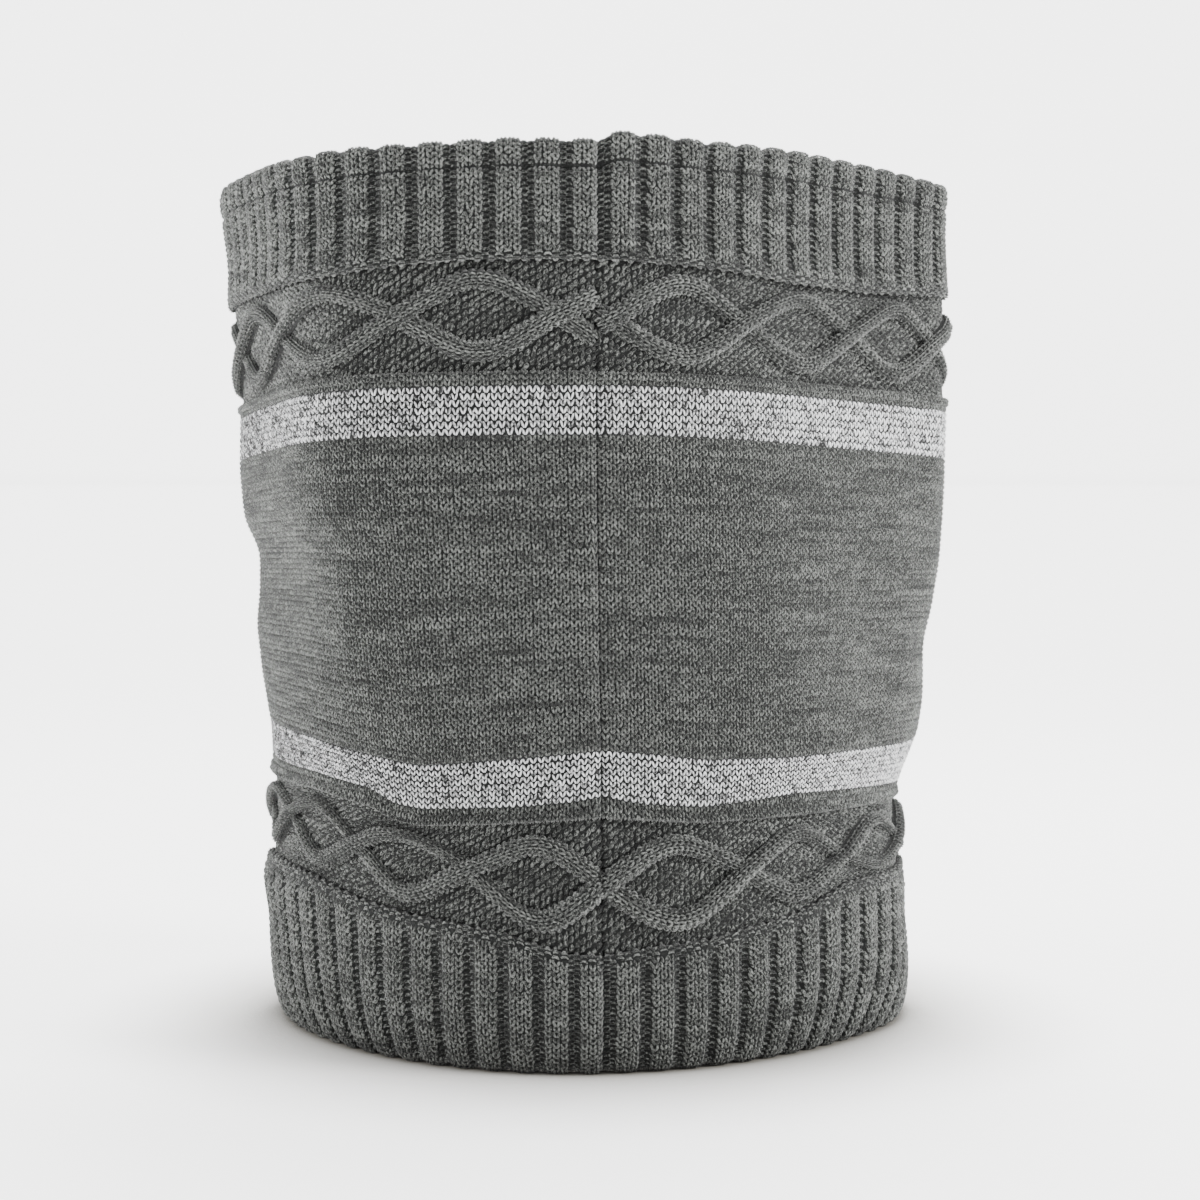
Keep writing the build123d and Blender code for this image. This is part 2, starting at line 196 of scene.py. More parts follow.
def outline_table():
    """x, y and the outward normal on a grid of heights and equal steps round the tube.

    Each outline is a mix of the foot's and the top's shape, stretched to the silhouette's
    half widths and walked at even speed from the back seam."""
    heights = np.linspace(TABLE_LOW, TABLE_HIGH, LEVELS)
    t = np.clip((heights - Z_RIB_TOP) / (Z_STRIPE_TOP - Z_RIB_TOP), 0, 1)
    mix = t * t * (3 - 2 * t)
    foot, top = closed_curve(FOOT_SHAPE, 4 * TURN_STEPS), closed_curve(TOP_SHAPE, 4 * TURN_STEPS)
    left = through(LEFT_HALF_WIDTH, heights / MM, 4) * MM
    right = through(RIGHT_HALF_WIDTH, heights / MM, 4) * MM
    table = np.empty((LEVELS, TURN_STEPS + 1, 4))
    for row, w in enumerate(mix):
        shape = (1 - w) * foot + w * top
        x = shape[:, 0] * np.where(shape[:, 0] < 0, left[row], right[row])
        y = shape[:, 1] * HALF_DEPTH
        ring = np.stack([np.append(x, x[0]), np.append(y, y[0])], 1)
        walked = np.concatenate([[0], np.cumsum(np.linalg.norm(np.diff(ring, axis=0), axis=1))])
        even = np.linspace(0, walked[-1], TURN_STEPS + 1)
        table[row, :, 0] = np.interp(even, walked, ring[:, 0])
        table[row, :, 1] = np.interp(even, walked, ring[:, 1])
    step = np.roll(table[:, :-1, :2], -1, 1) - np.roll(table[:, :-1, :2], 1, 1)
    step = np.concatenate([step, step[:, :1]], 1)
    length = np.linalg.norm(step, axis=2)
    # the walk runs clockwise from above, so outward is on its left
    table[:, :, 2] = -step[:, :, 1] / length
    table[:, :, 3] = step[:, :, 0] / length
    return table


TABLE = outline_table()
GIRTH = float(np.linalg.norm(np.diff(TABLE[LEVELS // 2, :, :2], axis=0), axis=1).sum())


def shift_of(turn, z):
    """How far material at (turn, z) has moved up: linear between the band edges' curves."""
    edges = sorted(EDGE_SHIFTS)
    rows = np.stack([through(EDGE_SHIFTS[e], turn, 0.006) for e in edges])
    at = np.clip(z / MM, edges[0], edges[-1])
    below = np.clip(np.searchsorted(edges, at, side="right") - 1, 0, len(edges) - 2)
    low, high = np.array(edges)[below], np.array(edges)[below + 1]
    f = (at - low) / (high - low)
    lower = np.take_along_axis(rows, below[None], 0)[0]
    upper = np.take_along_axis(rows, (below + 1)[None], 0)[0]
    return ((1 - f) * lower + f * upper) * MM


def swell_of(turn, z):
    """Outward offset from hollows, swells and the seam's groove and allowance."""
    out = np.zeros_like(turn)
    for u0, z0, spread_u, spread_z, depth in DENTS:
        out += depth * MM * np.exp(-(((turn - u0) / spread_u) ** 2) - ((z / MM - z0) / spread_z) ** 2)
    away = np.where(turn > 0.5, turn - 1, turn) * GIRTH
    out -= SEAM_GROOVE * np.exp(-((away / SEAM_GROOVE_WIDTH) ** 2))
    ridge = 1 / (1 + np.exp(-(SEAM_ALLOWANCE - away) / (0.5 * MM))) * (away > 0)
    out += SEAM_RIDGE * ridge * np.clip(away / (2 * MM), 0, 1)
    return out


def place(turn, z, out):
    """The point `out` metres outside the outline, at a turn from 0 to 1 and a height."""
    turn, z, out = np.broadcast_arrays(turn, z, out)
    turn = turn.astype(float) % 1.0
    high = z + shift_of(turn, z)
    out = out + swell_of(turn, z)
    row = np.clip((high - TABLE_LOW) / (TABLE_HIGH - TABLE_LOW) * (LEVELS - 1), 0, LEVELS - 1.001)
    col = turn * TURN_STEPS
    i, j = row.astype(int), col.astype(int)
    fi, fj = (row - i)[..., None], (col - j)[..., None]
    near = (1 - fj) * TABLE[i, j] + fj * TABLE[i, j + 1]
    far = (1 - fj) * TABLE[i + 1, j] + fj * TABLE[i + 1, j + 1]
    found = (1 - fi) * near + fi * far
    xy = found[..., :2] + out[..., None] * found[..., 2:]
    return np.concatenate([xy, high[..., None]], -1)


# ---------------------------------------------------------------- bands as profiles
class Profile:
    """A band's section: an open curve of (height, out) corners, walked by distance."""

    def __init__(self, corners):
        points = np.array([corners[0], *corners, corners[-1]], float)
        t = np.linspace(0, len(points) - 2 - 1e-9, 40 * len(points))
        i = t.astype(int)
        f = (t - i)[:, None]
        curve = (1 - f) ** 2 / 2 * points[i] + (0.5 + f * (1 - f)) * points[i + 1]
        curve = curve + f**2 / 2 * points[np.minimum(i + 2, len(points) - 1)]
        curve = np.concatenate([[corners[0]], curve, [corners[-1]]])
        keep = np.concatenate([[True], np.linalg.norm(np.diff(curve, axis=0), axis=1) > 1e-9])
        self.curve = curve[keep]
        self.walked = np.concatenate(
            [[0], np.cumsum(np.linalg.norm(np.diff(self.curve, axis=0), axis=1))]
        )
        self.length = float(self.walked[-1])
        step = np.gradient(self.curve, axis=0)
        step /= np.linalg.norm(step, axis=1)[:, None]
        # going up the outside, the normal points out
        self.normal = np.stack([-step[:, 1], step[:, 0]], 1)

    def at(self, distance, lift):
        """Height and out at a distance along the curve, lifted off it along its normal."""
        z, out, nz, nout = (
            np.interp(distance, self.walked, column)
            for column in (*self.curve.T, *self.normal.T)
        )
        return z + lift * nz, out + lift * nout


def straight_profile(low, high, out, inward=False):
    """A section straight up the tube between two heights, or down it to face inward."""
    corners = [(low, out), ((low + high) / 2, out), (high, out)]
    return Profile(corners[::-1] if inward else corners)


def band_map(profile, relief=None, bow=None):
    """Turns (turn, distance, lift) into points on a band: relief(turn, distance) lifts it
    and bow(turn, height) draws it round the tube."""

    def to_points(turn, distance, lift):
        """Points of the band at turns, distances along the profile and lifts off it."""
        extra = relief(turn, distance) if relief else 0.0
        z, out = profile.at(distance, lift + extra)
        return place(turn - bow(turn, z) if bow else turn, z, out)

    return to_points


# ---------------------------------------------------------------- mesh makers
def new_piece(name, points, faces, attributes=None, layout=None):
    """A mesh object from points (n, 3), quads (m, 4), point attributes and each quad's
    four places (m, 4, 2) on a layout map."""
    mesh = bpy.data.meshes.new(name)
    mesh.vertices.add(len(points))
    mesh.vertices.foreach_set("co", np.ascontiguousarray(points, np.float32).ravel())
    mesh.loops.add(faces.size)
    mesh.loops.foreach_set("vertex_index", faces.astype(np.int32).ravel())
    mesh.polygons.add(len(faces))
    mesh.polygons.foreach_set("loop_start", np.arange(0, faces.size, 4, dtype=np.int32))
    mesh.polygons.foreach_set("use_smooth", np.ones(len(faces), bool))
    mesh.update(calc_edges=True)
    for key, values in (attributes or {}).items():
        mesh.attributes.new(key, "FLOAT", "POINT").data.foreach_set(
            "value", np.ascontiguousarray(values, np.float32).ravel()
        )
    if layout is not None:
        corner = mesh.uv_layers.new(name="OFBake")
        corner.uv.foreach_set("vector", layout.astype(np.float32).ravel())
    piece = bpy.data.objects.new(name, mesh)
    bpy.context.scene.collection.objects.link(piece)
    return piece


# a tone of 0.35 darkens the cloth under the stitches: painted shade between the yarns
def shell(name, to_points, length, around, along, front, back, tone=0.35):
    """A closed band of cloth: an outer and an inner grid joined at both edges."""
    turn = np.arange(around) / around
    distance = np.linspace(0, length, along)
    u, v = np.meshgrid(turn, distance)
    outer, inner = to_points(u, v, front), to_points(u, v, back)
    points = np.concatenate([outer.reshape(-1, 3), inner.reshape(-1, 3)])
    count = around * along
    column = np.arange(around)
    after = (column + 1) % around
    rows = np.arange(along - 1)[:, None] * around
    # turns run clockwise from above, so this order faces outward
    front_faces = np.stack(
        np.broadcast_arrays(rows + column, rows + around + column, rows + around + after, rows + after), -1
    ).reshape(-1, 4)
    back_faces = front_faces[:, ::-1] + count
    low = np.stack([column, after, after + count, column + count], -1)
    high = np.stack([column, column + count, after + count, after], -1) + (along - 1) * around
    faces = np.concatenate([front_faces, back_faces, low, high])
    # the outside fills the layout's lower half and the inside its upper half
    share = 0.02 + v.ravel() / max(length, 1e-9) * 0.47
    layout = np.stack([np.tile(u.ravel(), 2), np.concatenate([share, 1 - share])], 1)[faces]
    layout[:, :, 0] += (layout[:, :, 0] < 0.25) & (layout[:, :, 0].max(1, keepdims=True) > 0.75)
    layout[-2 * around : -around, 2:, 1] = 0.0
    return new_piece(name, points, faces, {"tone": np.full(2 * count, tone)}, layout)


def grid_quads(index):
    """The quads between neighbours on a grid of point numbers."""
    return np.stack([index[:-1, :-1], index[:-1, 1:], index[1:, 1:], index[1:, :-1]], -1).reshape(-1, 4)


def yarn_leg(centres, lifts, half_widths, edge_drop=0.75, across=3):
    """A plump half-round stroke of yarn as a small grid, in wale, row and lift units."""
    centres, lifts, half = np.array(centres, float), np.array(lifts, float), np.array(half_widths, float)
    step = np.gradient(centres, axis=0)
    step /= np.linalg.norm(step, axis=1)[:, None]
    side = np.stack([step[:, 1], -step[:, 0]], 1)
    swing = np.linspace(-1, 1, across)
    flat = centres[:, None] + side[:, None] * (half[:, None] * swing)[..., None]
    lift = lifts[:, None] - edge_drop * half[:, None] * swing**2 * 2
    grid = np.concatenate([flat, lift[..., None]], -1)
    k = len(centres)
    quads = grid_quads(np.arange(k * across).reshape(k, across))
    fibre = np.stack([np.repeat(np.linspace(0, 1, k), across), np.tile(swing, k)], 1)
    return grid.reshape(-1, 3), quads, fibre


def join_legs(*legs):
    """Several legs as one stitch, with places along the yarn of their own."""
    points, faces, fibre, start = [], [], [], 0
    for p, q, a in legs:
        points.append(p)
        faces.append(q + start)
        fibre.append(a + [3.0 * len(fibre), 0])
        start += len(p)
    return np.concatenate(points), np.concatenate(faces), np.concatenate(fibre)


def mirrored(leg):
    """The leg on the other side of its wale."""
    points, quads, fibre = leg
    return points * np.array([-1, 1, 1]), quads[:, ::-1], fibre


def faced_out(leg):
    """The leg with its quads wound so that they face the lift's way."""
    points, quads, fibre = leg
    a, b, c = (points[quads[:, k]] for k in (0, 1, 2))
    turned = np.cross(b - a, c - a)[:, 2].sum() < 0
    return points, quads[:, ::-1] if turned else quads, fibre


RIGHT_LEG = faced_out(
    yarn_leg(
        [(0.07, -0.62), (0.17, -0.25), (0.31, 0.18), (0.37, 0.60)],
        [-0.18, 0.20, 0.28, -0.06],
        [0.12, 0.185, 0.185, 0.12],
    )
)
KNIT_STITCH = join_legs(RIGHT_LEG, faced_out(mirrored(RIGHT_LEG)))
METALLIC_LEG = faced_out(
    yarn_leg(
        [(0.07, -0.50), (0.18, -0.18), (0.32, 0.20), (0.40, 0.48)],
        [-0.05, 0.20, 0.22, 0.0],
        [0.10, 0.17, 0.17, 0.10],
    )
)
METALLIC_STITCH = join_legs(METALLIC_LEG, faced_out(mirrored(METALLIC_LEG)))
PURL_STITCH = faced_out(
    yarn_leg(
        [(-0.56, -0.22), (-0.22, 0.14), (0.22, 0.14), (0.56, -0.22)],
        [-0.10, 0.24, 0.24, -0.10],
        [0.20, 0.34, 0.34, 0.20],
    )
)
GROUND_STITCH = faced_out(
    yarn_leg(
        [(-0.52, -0.34), (-0.19, -0.04), (0.17, 0.18), (0.50, 0.20)],
        [-0.18, 0.28, 0.30, -0.14],
        [0.20, 0.37, 0.37, 0.22],
    )
)


def knit(name, to_points, stitch, turns, distances, wale, row, lift, tones, sideways=False, spread=0.05):
    """Lays a copy of a stitch at each (turn, distance), sized by wale and row in metres.

    tones is one value per stitch. The stitch's own coordinates are scaled to the cloth, so
    each copy bends with it. With sideways, wales run round the tube."""
    rng = np.random.default_rng(SEED + len(name))
    points, quads, fibre = stitch
    n = len(turns)
    local = np.broadcast_to(points, (n, *points.shape)).copy()
    local[..., :2] += rng.normal(0, spread, (n, 1, 2))
    local *= 1 + rng.normal(0, spread, (n, 1, 3))
    across, up = (local[..., 1], local[..., 0]) if sideways else (local[..., 0], local[..., 1])
    wide, tall = (row, wale) if sideways else (wale, row)
    # turns run leftwards, so a step to the right is a smaller turn
    u = turns[:, None] - across * np.reshape(wide, (-1, 1)) / GIRTH
    v = distances[:, None] + up * np.reshape(tall, (-1, 1))
    xyz = to_points(u, v, lift + local[..., 2] * min(np.mean(wide), np.mean(tall)))
    faces = (quads[None] + (np.arange(n) * len(points))[:, None, None]).reshape(-1, 4)
    if sideways:
        faces = faces[:, ::-1]
    attributes = fibre_attributes(tones, fibre, rng)
    return new_piece(name, xyz.reshape(-1, 3), faces, attributes, unrolled(u, v)[faces])


def unrolled(u, v):
    """The layout of stitches laid flat: a seam never cuts one, so the map fills 0 to 1."""
    u = u - np.floor(u.mean(1, keepdims=True))
    flat = np.stack([u.ravel(), v.ravel()], 1)
    low = flat.min(0)
    return (flat - low) / (flat.max(0) - low)


def fibre_attributes(tones, fibre, rng):
    """Point attributes of repeated stitches: tone, and where each point is in its yarn."""
    n = len(tones)
    start = rng.uniform(0, 50, (n, 1))
    return {
        "tone": np.repeat(tones, len(fibre)),
        "along": (fibre[None, :, 0] + start).ravel(),
        "across": np.tile(fibre[:, 1], n),
    }


def stitch_tones(count_round, rows, rng, streak=0.11, speckle=0.05):
    """Marl by stitch: a slow drift along each row of yarn plus a speckle, about 0.5."""
    drift = rng.normal(0, 1, (rows, count_round // 6 + 2))
    places = np.linspace(0, drift.shape[1] - 1.001, count_round)
    i = places.astype(int)
    f = places - i
    slow = (1 - f) * drift[:, i] + f * drift[:, i + 1]
    return 0.5 + streak * slow + speckle * rng.normal(0, 1, (rows, count_round))


# ---------------------------------------------------------------- materials
def node_tree(name):
    """A new material with its tree and its main shader."""
    material = bpy.data.materials.new(name)
    material.use_nodes = True
    tree = material.node_tree
    shader = tree.nodes["Principled BSDF"]
    return material, tree, shader


def linked(tree, kind, **inputs):
    """A node with its inputs set, or joined where the value is another node's socket."""
    node = tree.nodes.new(kind)
    for key, value in inputs.items():
        socket = node.inputs[key.replace("_", " ")]
        if isinstance(value, bpy.types.NodeSocket):
            tree.links.new(value, socket)
        else:
            socket.default_value = value
    return node


def math_node(tree, operation, first, second, third=None):
    """The result of a maths node, from numbers or other nodes' sockets."""
    node = tree.nodes.new("ShaderNodeMath")
    node.operation = operation
    for socket, value in zip(node.inputs, (first, second, third)):
        if isinstance(value, bpy.types.NodeSocket):
            tree.links.new(value, socket)
        elif value is not None:
            socket.default_value = value
    return node.outputs[0]


def ramp_node(tree, factor, stops):
    """A colour that runs through (position, colour) stops as the factor grows."""
    node = tree.nodes.new("ShaderNodeValToRGB")
    tree.links.new(factor, node.inputs[0])
    elements = node.color_ramp.elements
    while len(elements) < len(stops):
        elements.new(0.5)
    for element, (position, colour) in zip(elements, stops):
        element.position = position
        element.color = (*colour, 1)
    return node.outputs["Color"]


def attribute_node(tree, name):
    """The value of a point attribute."""
    node = tree.nodes.new("ShaderNodeAttribute")
    node.attribute_name = name
    return node.outputs["Fac"]


def object_noise(tree, scale, detail, roughness):
    """Noise on the object's own coordinates."""
    where = tree.nodes.new("ShaderNodeTexCoord").outputs["Object"]
    noise = linked(tree, "ShaderNodeTexNoise", Vector=where, Scale=scale, Detail=detail, Roughness=roughness)
    return noise.outputs["Fac"]


def add_bump(tree, shader, height, strength, distance):
    """Gives a shader fine relief that follows a height."""
    bump = linked(tree, "ShaderNodeBump", Strength=strength, Distance=distance, Height=height)
    tree.links.new(bump.outputs["Normal"], shader.inputs["Normal"])


def fibre_noise(tree, detail=3.0):
    """Noise drawn out along each stroke of yarn, from its along and across attributes."""
    along = math_node(tree, "MULTIPLY", attribute_node(tree, "along"), 1.6)
    across = math_node(tree, "MULTIPLY", attribute_node(tree, "across"), 1.9)
    vector = linked(tree, "ShaderNodeCombineXYZ", X=along, Y=across).outputs[0]
    noise = linked(tree, "ShaderNodeTexNoise", Vector=vector, Scale=1.6, Detail=detail, Roughness=0.7)
    return noise.outputs["Fac"]


def between_strokes(tree, colour, depth):
    """Darkens a colour towards the sides of each stroke, where yarns meet in shadow."""
    across = attribute_node(tree, "across")
    light = math_node(tree, "MULTIPLY_ADD", math_node(tree, "MULTIPLY", across, across), -depth, 1.0)
    node = tree.nodes.new("ShaderNodeVectorMath")
    node.operation = "SCALE"
    tree.links.new(colour, node.inputs[0])
    tree.links.new(light, node.inputs["Scale"])
    return node.outputs[0]


# outline sets how far each stroke is darkened towards its sides: painted shade where the yarns meet
def marl_yarn(name, dark, middle, light, fuzz=0.2, contrast=3.2, outline=0.85):
    """Matt marl yarn: dark and light fibres spun together, with hairs as fine bumps."""
    material, tree, shader = node_tree(name)
    speck = object_noise(tree, 1500.0, 3.0, 0.65)
    hair = object_noise(tree, 5200.0, 2.0, 0.6)
    fibre = fibre_noise(tree)
    spun = math_node(tree, "ADD", fibre, speck)
    mixed = math_node(tree, "MULTIPLY_ADD", spun, contrast, -contrast)
    mixed = math_node(tree, "ADD", mixed, attribute_node(tree, "tone"))
    colour = ramp_node(tree, mixed, [(0.0, dark), (0.5, middle), (1.0, light)])
    # painted shade: each stroke darkens towards its sides, where the yarns meet
    tree.links.new(between_strokes(tree, colour, outline), shader.inputs["Base Color"])
    shader.inputs["Roughness"].default_value = 0.9
    shader.inputs["Sheen Weight"].default_value = fuzz
    shader.inputs["Sheen Roughness"].default_value = 0.5
    shader.inputs["Specular IOR Level"].default_value = 0.2
    add_bump(tree, shader, math_node(tree, "ADD", hair, fibre), 0.8, 0.3 * MM)
    return material


def metallic_yarn(name, dark, bright):
    """Flat silver thread twisted with dark yarn: some strokes shine, some stay dull."""
    material, tree, shader = node_tree(name)
    glint = object_noise(tree, 1500.0, 2.0, 0.7)
    spun = math_node(tree, "ADD", fibre_noise(tree), glint)
    mixed = math_node(tree, "MULTIPLY_ADD", spun, 2.4, -2.4)
    mixed = math_node(tree, "ADD", mixed, attribute_node(tree, "tone"))
    middle = tuple(0.45 * c for c in bright)
    colour = ramp_node(tree, mixed, [(0.12, dark), (0.4, middle), (0.7, bright)])
    # painted shade: each silver stroke darkens towards its sides, where the yarns meet
    tree.links.new(between_strokes(tree, colour, 0.85), shader.inputs["Base Color"])
    rough = math_node(tree, "MULTIPLY_ADD", mixed, -0.3, 0.6)
    tree.links.new(rough, shader.inputs["Roughness"])
    shader.inputs["Metallic"].default_value = 0.35
    add_bump(tree, shader, glint, 0.5, 0.3 * MM)
    return material


def fleece(name, dark, light):
    """Brushed fleece: soft tufts and a velvet sheen."""
    material, tree, shader = node_tree(name)
    tuft = object_noise(tree, 420.0, 5.0, 0.7)
    colour = ramp_node(tree, tuft, [(0.3, dark), (0.7, light)])
    tree.links.new(colour, shader.inputs["Base Color"])
    shader.inputs["Roughness"].default_value = 1.0
    shader.inputs["Sheen Weight"].default_value = 0.6
    add_bump(tree, shader, tuft, 0.9, 0.9 * MM)
    return material


def woven_tape(name, dark, light):
    """Satin tape: a fine, faint grain with a soft shine."""
    material, tree, shader = node_tree(name)
    weave = object_noise(tree, 2600.0, 1.0, 0.5)
    colour = ramp_node(tree, weave, [(0.35, dark), (0.65, light)])
    tree.links.new(colour, shader.inputs["Base Color"])
    shader.inputs["Roughness"].default_value = 0.45
    add_bump(tree, shader, weave, 0.4, 0.1 * MM)
    return material


MATERIALS = {}


def finish_of(key):
    """The material of this name, made the first time from the colour settings."""
    if key not in MATERIALS:
        colours = bpy.context.scene.neck_warmer_yarns
        dark, middle, light = (tuple(c) for c in (colours.dark, colours.middle, colours.light))
        deep = tuple(0.6 * c for c in dark)
        makers = {
            "marl": lambda: marl_yarn("grey_marl", dark, middle, light),
            "rib": lambda: marl_yarn("rib_marl", dark, middle, light, outline=0.62),
            # painted shade: the sunken cable ground gets a darker middle colour
            "ground": lambda: marl_yarn("cable_marl", dark, tuple(0.85 * c for c in middle), light),
            # painted shade: the cloth under the stitches is a darker marl, seen between the yarns as their
            # shadow
            "cloth": lambda: marl_yarn("shaded_marl", deep, dark, middle, fuzz=0.1),
            "metallic": lambda: metallic_yarn("silver_thread", deep, tuple(colours.silver)),
            "fleece": lambda: fleece("grey_fleece", middle, light),
            "thread": lambda: marl_yarn("seam_yarn", deep, dark, middle, fuzz=0.1),
            "label": lambda: woven_tape("white_satin", (0.62, 0.62, 0.6), (0.85, 0.85, 0.83)),
            "tab": lambda: woven_tape("blue_satin", (0.12, 0.36, 0.47), (0.25, 0.55, 0.66)),
        }
        MATERIALS[key] = makers[key]()
    return MATERIALS[key]


def dress(piece, key, body):
    """Gives a piece its material and the body it rides on."""
    piece.data.materials.append(finish_of(key))
    if body == "middle":
        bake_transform(piece)
    else:
        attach(piece, body)
    return piece


# ---------------------------------------------------------------- band profiles
JERSEY_OUT = -0.8 * MM
GROUND_OUT = -2.0 * MM
CLOTH_FRONT = -0.25 * MM
CLOTH_BACK = -1.6 * MM
RIB_CLOTH_BACK = -1.3 * MM
RIB_DEPTH = 1.0 * MM
RIB_GRID = (720, 26)
BAND_AROUND = 480
# Distances along the ribs' profiles: the sewn edge's from that end, the hem crease's on the
# top rib and, on the bottom rib, where the foot presses the ribs flat.
SEWN_EDGE = 2.6 * MM
HEM_CREASE = Z_RIM - Z_TOP_RIB - 4.4 * MM
FOOT_CURL = 13.5 * MM
TOP_RIB_WALE = 2.25 * MM
BOTTOM_RIB_WALE = 2.2 * MM
CABLE_WALE = 2.0 * MM


def top_rib_profile():
    """Up the outside, over the rim and down the inside to the hem."""
    rim = Z_RIM
    return Profile(
        [
            (Z_TOP_RIB + 0.8 * MM, -1.4 * MM), (Z_TOP_RIB - 0.7 * MM, -0.9 * MM),
            (Z_TOP_RIB - 0.5 * MM, 0.5 * MM), (Z_TOP_RIB + 2 * MM, 0.5 * MM), (Z_TOP_RIB + 5 * MM, 0.1 * MM),
            (rim - 12 * MM, 0.0), (rim - 4 * MM, 0.3 * MM), (rim + 0.2 * MM, 0.2 * MM),
            (rim + 0.2 * MM, -4.4 * MM), (rim - 4 * MM, -4.6 * MM), (rim - 7.5 * MM, -4.4 * MM),
        ]
    )  # fmt: skip


def bottom_rib_profile():
    """Up the inside from the hem's level, round the curled foot and up the outside."""
    return Profile(
        [
            (12.0 * MM, -6.0 * MM), (7.0 * MM, -7.6 * MM), (0.6 * MM, -8.6 * MM),
            (0.2 * MM, -4.6 * MM), (1.6 * MM, -2.6 * MM), (6.0 * MM, -1.0 * MM),
            (13.0 * MM, 0.0), (26.0 * MM, 0.3 * MM), (Z_RIB_TOP - 2 * MM, 0.4 * MM),
            (Z_RIB_TOP + 0.6 * MM, 0.6 * MM), (Z_RIB_TOP + 0.6 * MM, -1.8 * MM),
        ]
    )  # fmt: skip


def rib_relief(depth, sewn_at, hem_at=None, pressed_at=None):
    """Three knit wales stand up and two purl wales sink, in each repeat of the rib.

    The wave is a cosine squared off by a hyperbolic tangent. The ribs flatten out towards
    the sewn edge; the crease at the hem is a bell curve, deepest at the back seam."""

    def relief(turn, distance):
        """The cloth's rise at a turn and a distance along the profile."""
        repeats = bpy.context.scene.neck_warmer_knit.rib_repeats
        phase = turn * repeats % 1.0
        wave = np.cos(2 * math.pi * (phase - RIB_MIDDLE))
        lift = depth * (np.tanh(2.2 * (wave + 0.45)) - 0.55)
        free = np.clip(np.abs(distance - sewn_at) / (5.5 * MM) - 0.3, 0, 1)
        lift = lift * free * (2 - free)
        if pressed_at is not None:
            lift = lift * (1 - 0.7 * np.exp(-(((distance - pressed_at) / (5 * MM)) ** 2)))
        if hem_at is not None:
            away = (distance - hem_at) / (0.75 * MM)
            near_seam = np.exp(-((((turn + 0.5) % 1 - 0.508) / 0.022) ** 2))
            rim = np.exp(-(((distance - hem_at - 8.5 * MM) / (3.5 * MM)) ** 2))
            lift = lift * (1 - 0.45 * rim) - (0.8 + 0.7 * near_seam) * MM * np.exp(-(away**2))
        return lift

    return relief


def foot_bow(turn, z):
    """How far the foot's ribs are drawn towards the back seam, in turns.

    It goes as the cube of the sine round the tube, and up the band as (1 - h)^2 less
    1.6 h (1 - h) with h the share of the height, so each rib bows out at its middle."""
    share = np.clip(z / Z_RIB_TOP, 0, 1)
    side = np.sin(2 * math.pi * turn)
    most = np.where(side < 0, 0.026, 0.019)
    return most * side**3 * ((1 - share) ** 2 - 1.6 * share * (1 - share))


RIB_MIDDLE = 0.31
KNIT_WALES = (0.085, 0.31, 0.535)
PURL_WALES = (0.735, 0.885)


def rib_stitches(name, profile, to_points, sewn_at, wale, row, body):
    """All stitches of a rib band: plain ones on its knit wales and purl ones in its
    grooves, with a few rows of purl right across at its sewn edge."""
    repeats = bpy.context.scene.neck_warmer_knit.rib_repeats
    rows = int(profile.length / row)
    rng = np.random.default_rng(SEED + 7)
    levels = (np.arange(rows) + 0.5) * row
    columns = np.array(KNIT_WALES + PURL_WALES)
    turns = (np.arange(repeats)[:, None] + columns).ravel() / repeats
    groove = np.tile(np.arange(len(columns)) >= len(KNIT_WALES), repeats)
    order = np.argsort(turns)
    turns, groove = turns[order], groove[order]
    # painted shade: purl stitches in the grooves are 0.24 darker, as the shadow of the standing knit wales
    tones = stitch_tones(len(turns), rows, rng) + 0.06 - 0.24 * groove
    u, v = np.meshgrid(turns, levels)
    purl = groove[None] | (np.abs(v - sewn_at) < 2.4 * MM)
    v = v + row * 0.5 * (purl & (np.arange(len(turns)) % 2 == 1))
    pieces = []
    for kind, stitch, pick, wide in (
        ("knit", KNIT_STITCH, ~purl, wale),
        ("purl", PURL_STITCH, purl, 0.8 * wale),
    ):
        stitches = knit(f"{name}_{kind}", to_points, stitch, u[pick], v[pick], wide, row, 0.0, tones[pick])
        pieces.append(dress(stitches, "rib", body))
    return pieces


def band_cloth(name, node, body, to_points, length, grid, front=CLOTH_FRONT, back=CLOTH_BACK):
    """A band's cloth, dressed and standing for a CAD node; grid is its points each way. Its dark marl shows
    between the stitches as painted shade.
    """
    cloth = shell(name, to_points, length, *grid, front, back)
    dress(cloth, "cloth", body)
    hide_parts(node)
    return cloth


def rib_band(name, body, profile, to_points, sewn_at, wale):
    """A ribbed end of the tube: its cloth and its two kinds of stitches."""
    cloth = band_cloth(
        f"{name}_cloth", f"{name}_band", body, to_points, profile.length, RIB_GRID,
        back=RIB_CLOTH_BACK,
    )  # fmt: skip
    row = bpy.context.scene.neck_warmer_knit.row
    return cloth, rib_stitches(name, profile, to_points, sewn_at, wale, row, body)


def stitch_grid(columns, rows, row):
    """Turns and distances of a band's stitches: columns round it, in rows `row` apart."""
    return np.meshgrid((np.arange(columns) + 0.5) / columns, (np.arange(rows) + 0.5) * row)


# ---------------------------------------------------------------- settings
class NeckWarmerKnit(PropertyGroup):
    """Gauge of the knit and the sizes of its cables."""

    wales: IntProperty(name="Wales", description="Stitches round the tube", default=300, min=60)
    rib_repeats: IntProperty(
        name="Rib Repeats", description="Repeats of three knit and two purl wales", default=60, min=12
    )
    row: FloatProperty(
        name="Row", description="Height of one row of stitches", default=1.6 * MM, unit="LENGTH"
    )
    strand_half_width: FloatProperty(
        name="Strand Half Width",
        description="Half the width of a cable",
        default=2.5 * MM,
        unit="LENGTH",
    )
    strand_height: FloatProperty(
        name="Strand Height",
        description="Relief of a cable over its ground",
        default=2.5 * MM,
        unit="LENGTH",
    )
    strand_swing: FloatProperty(
        name="Strand Swing", description="Half the height of a diamond", default=9.3 * MM, unit="LENGTH"
    )


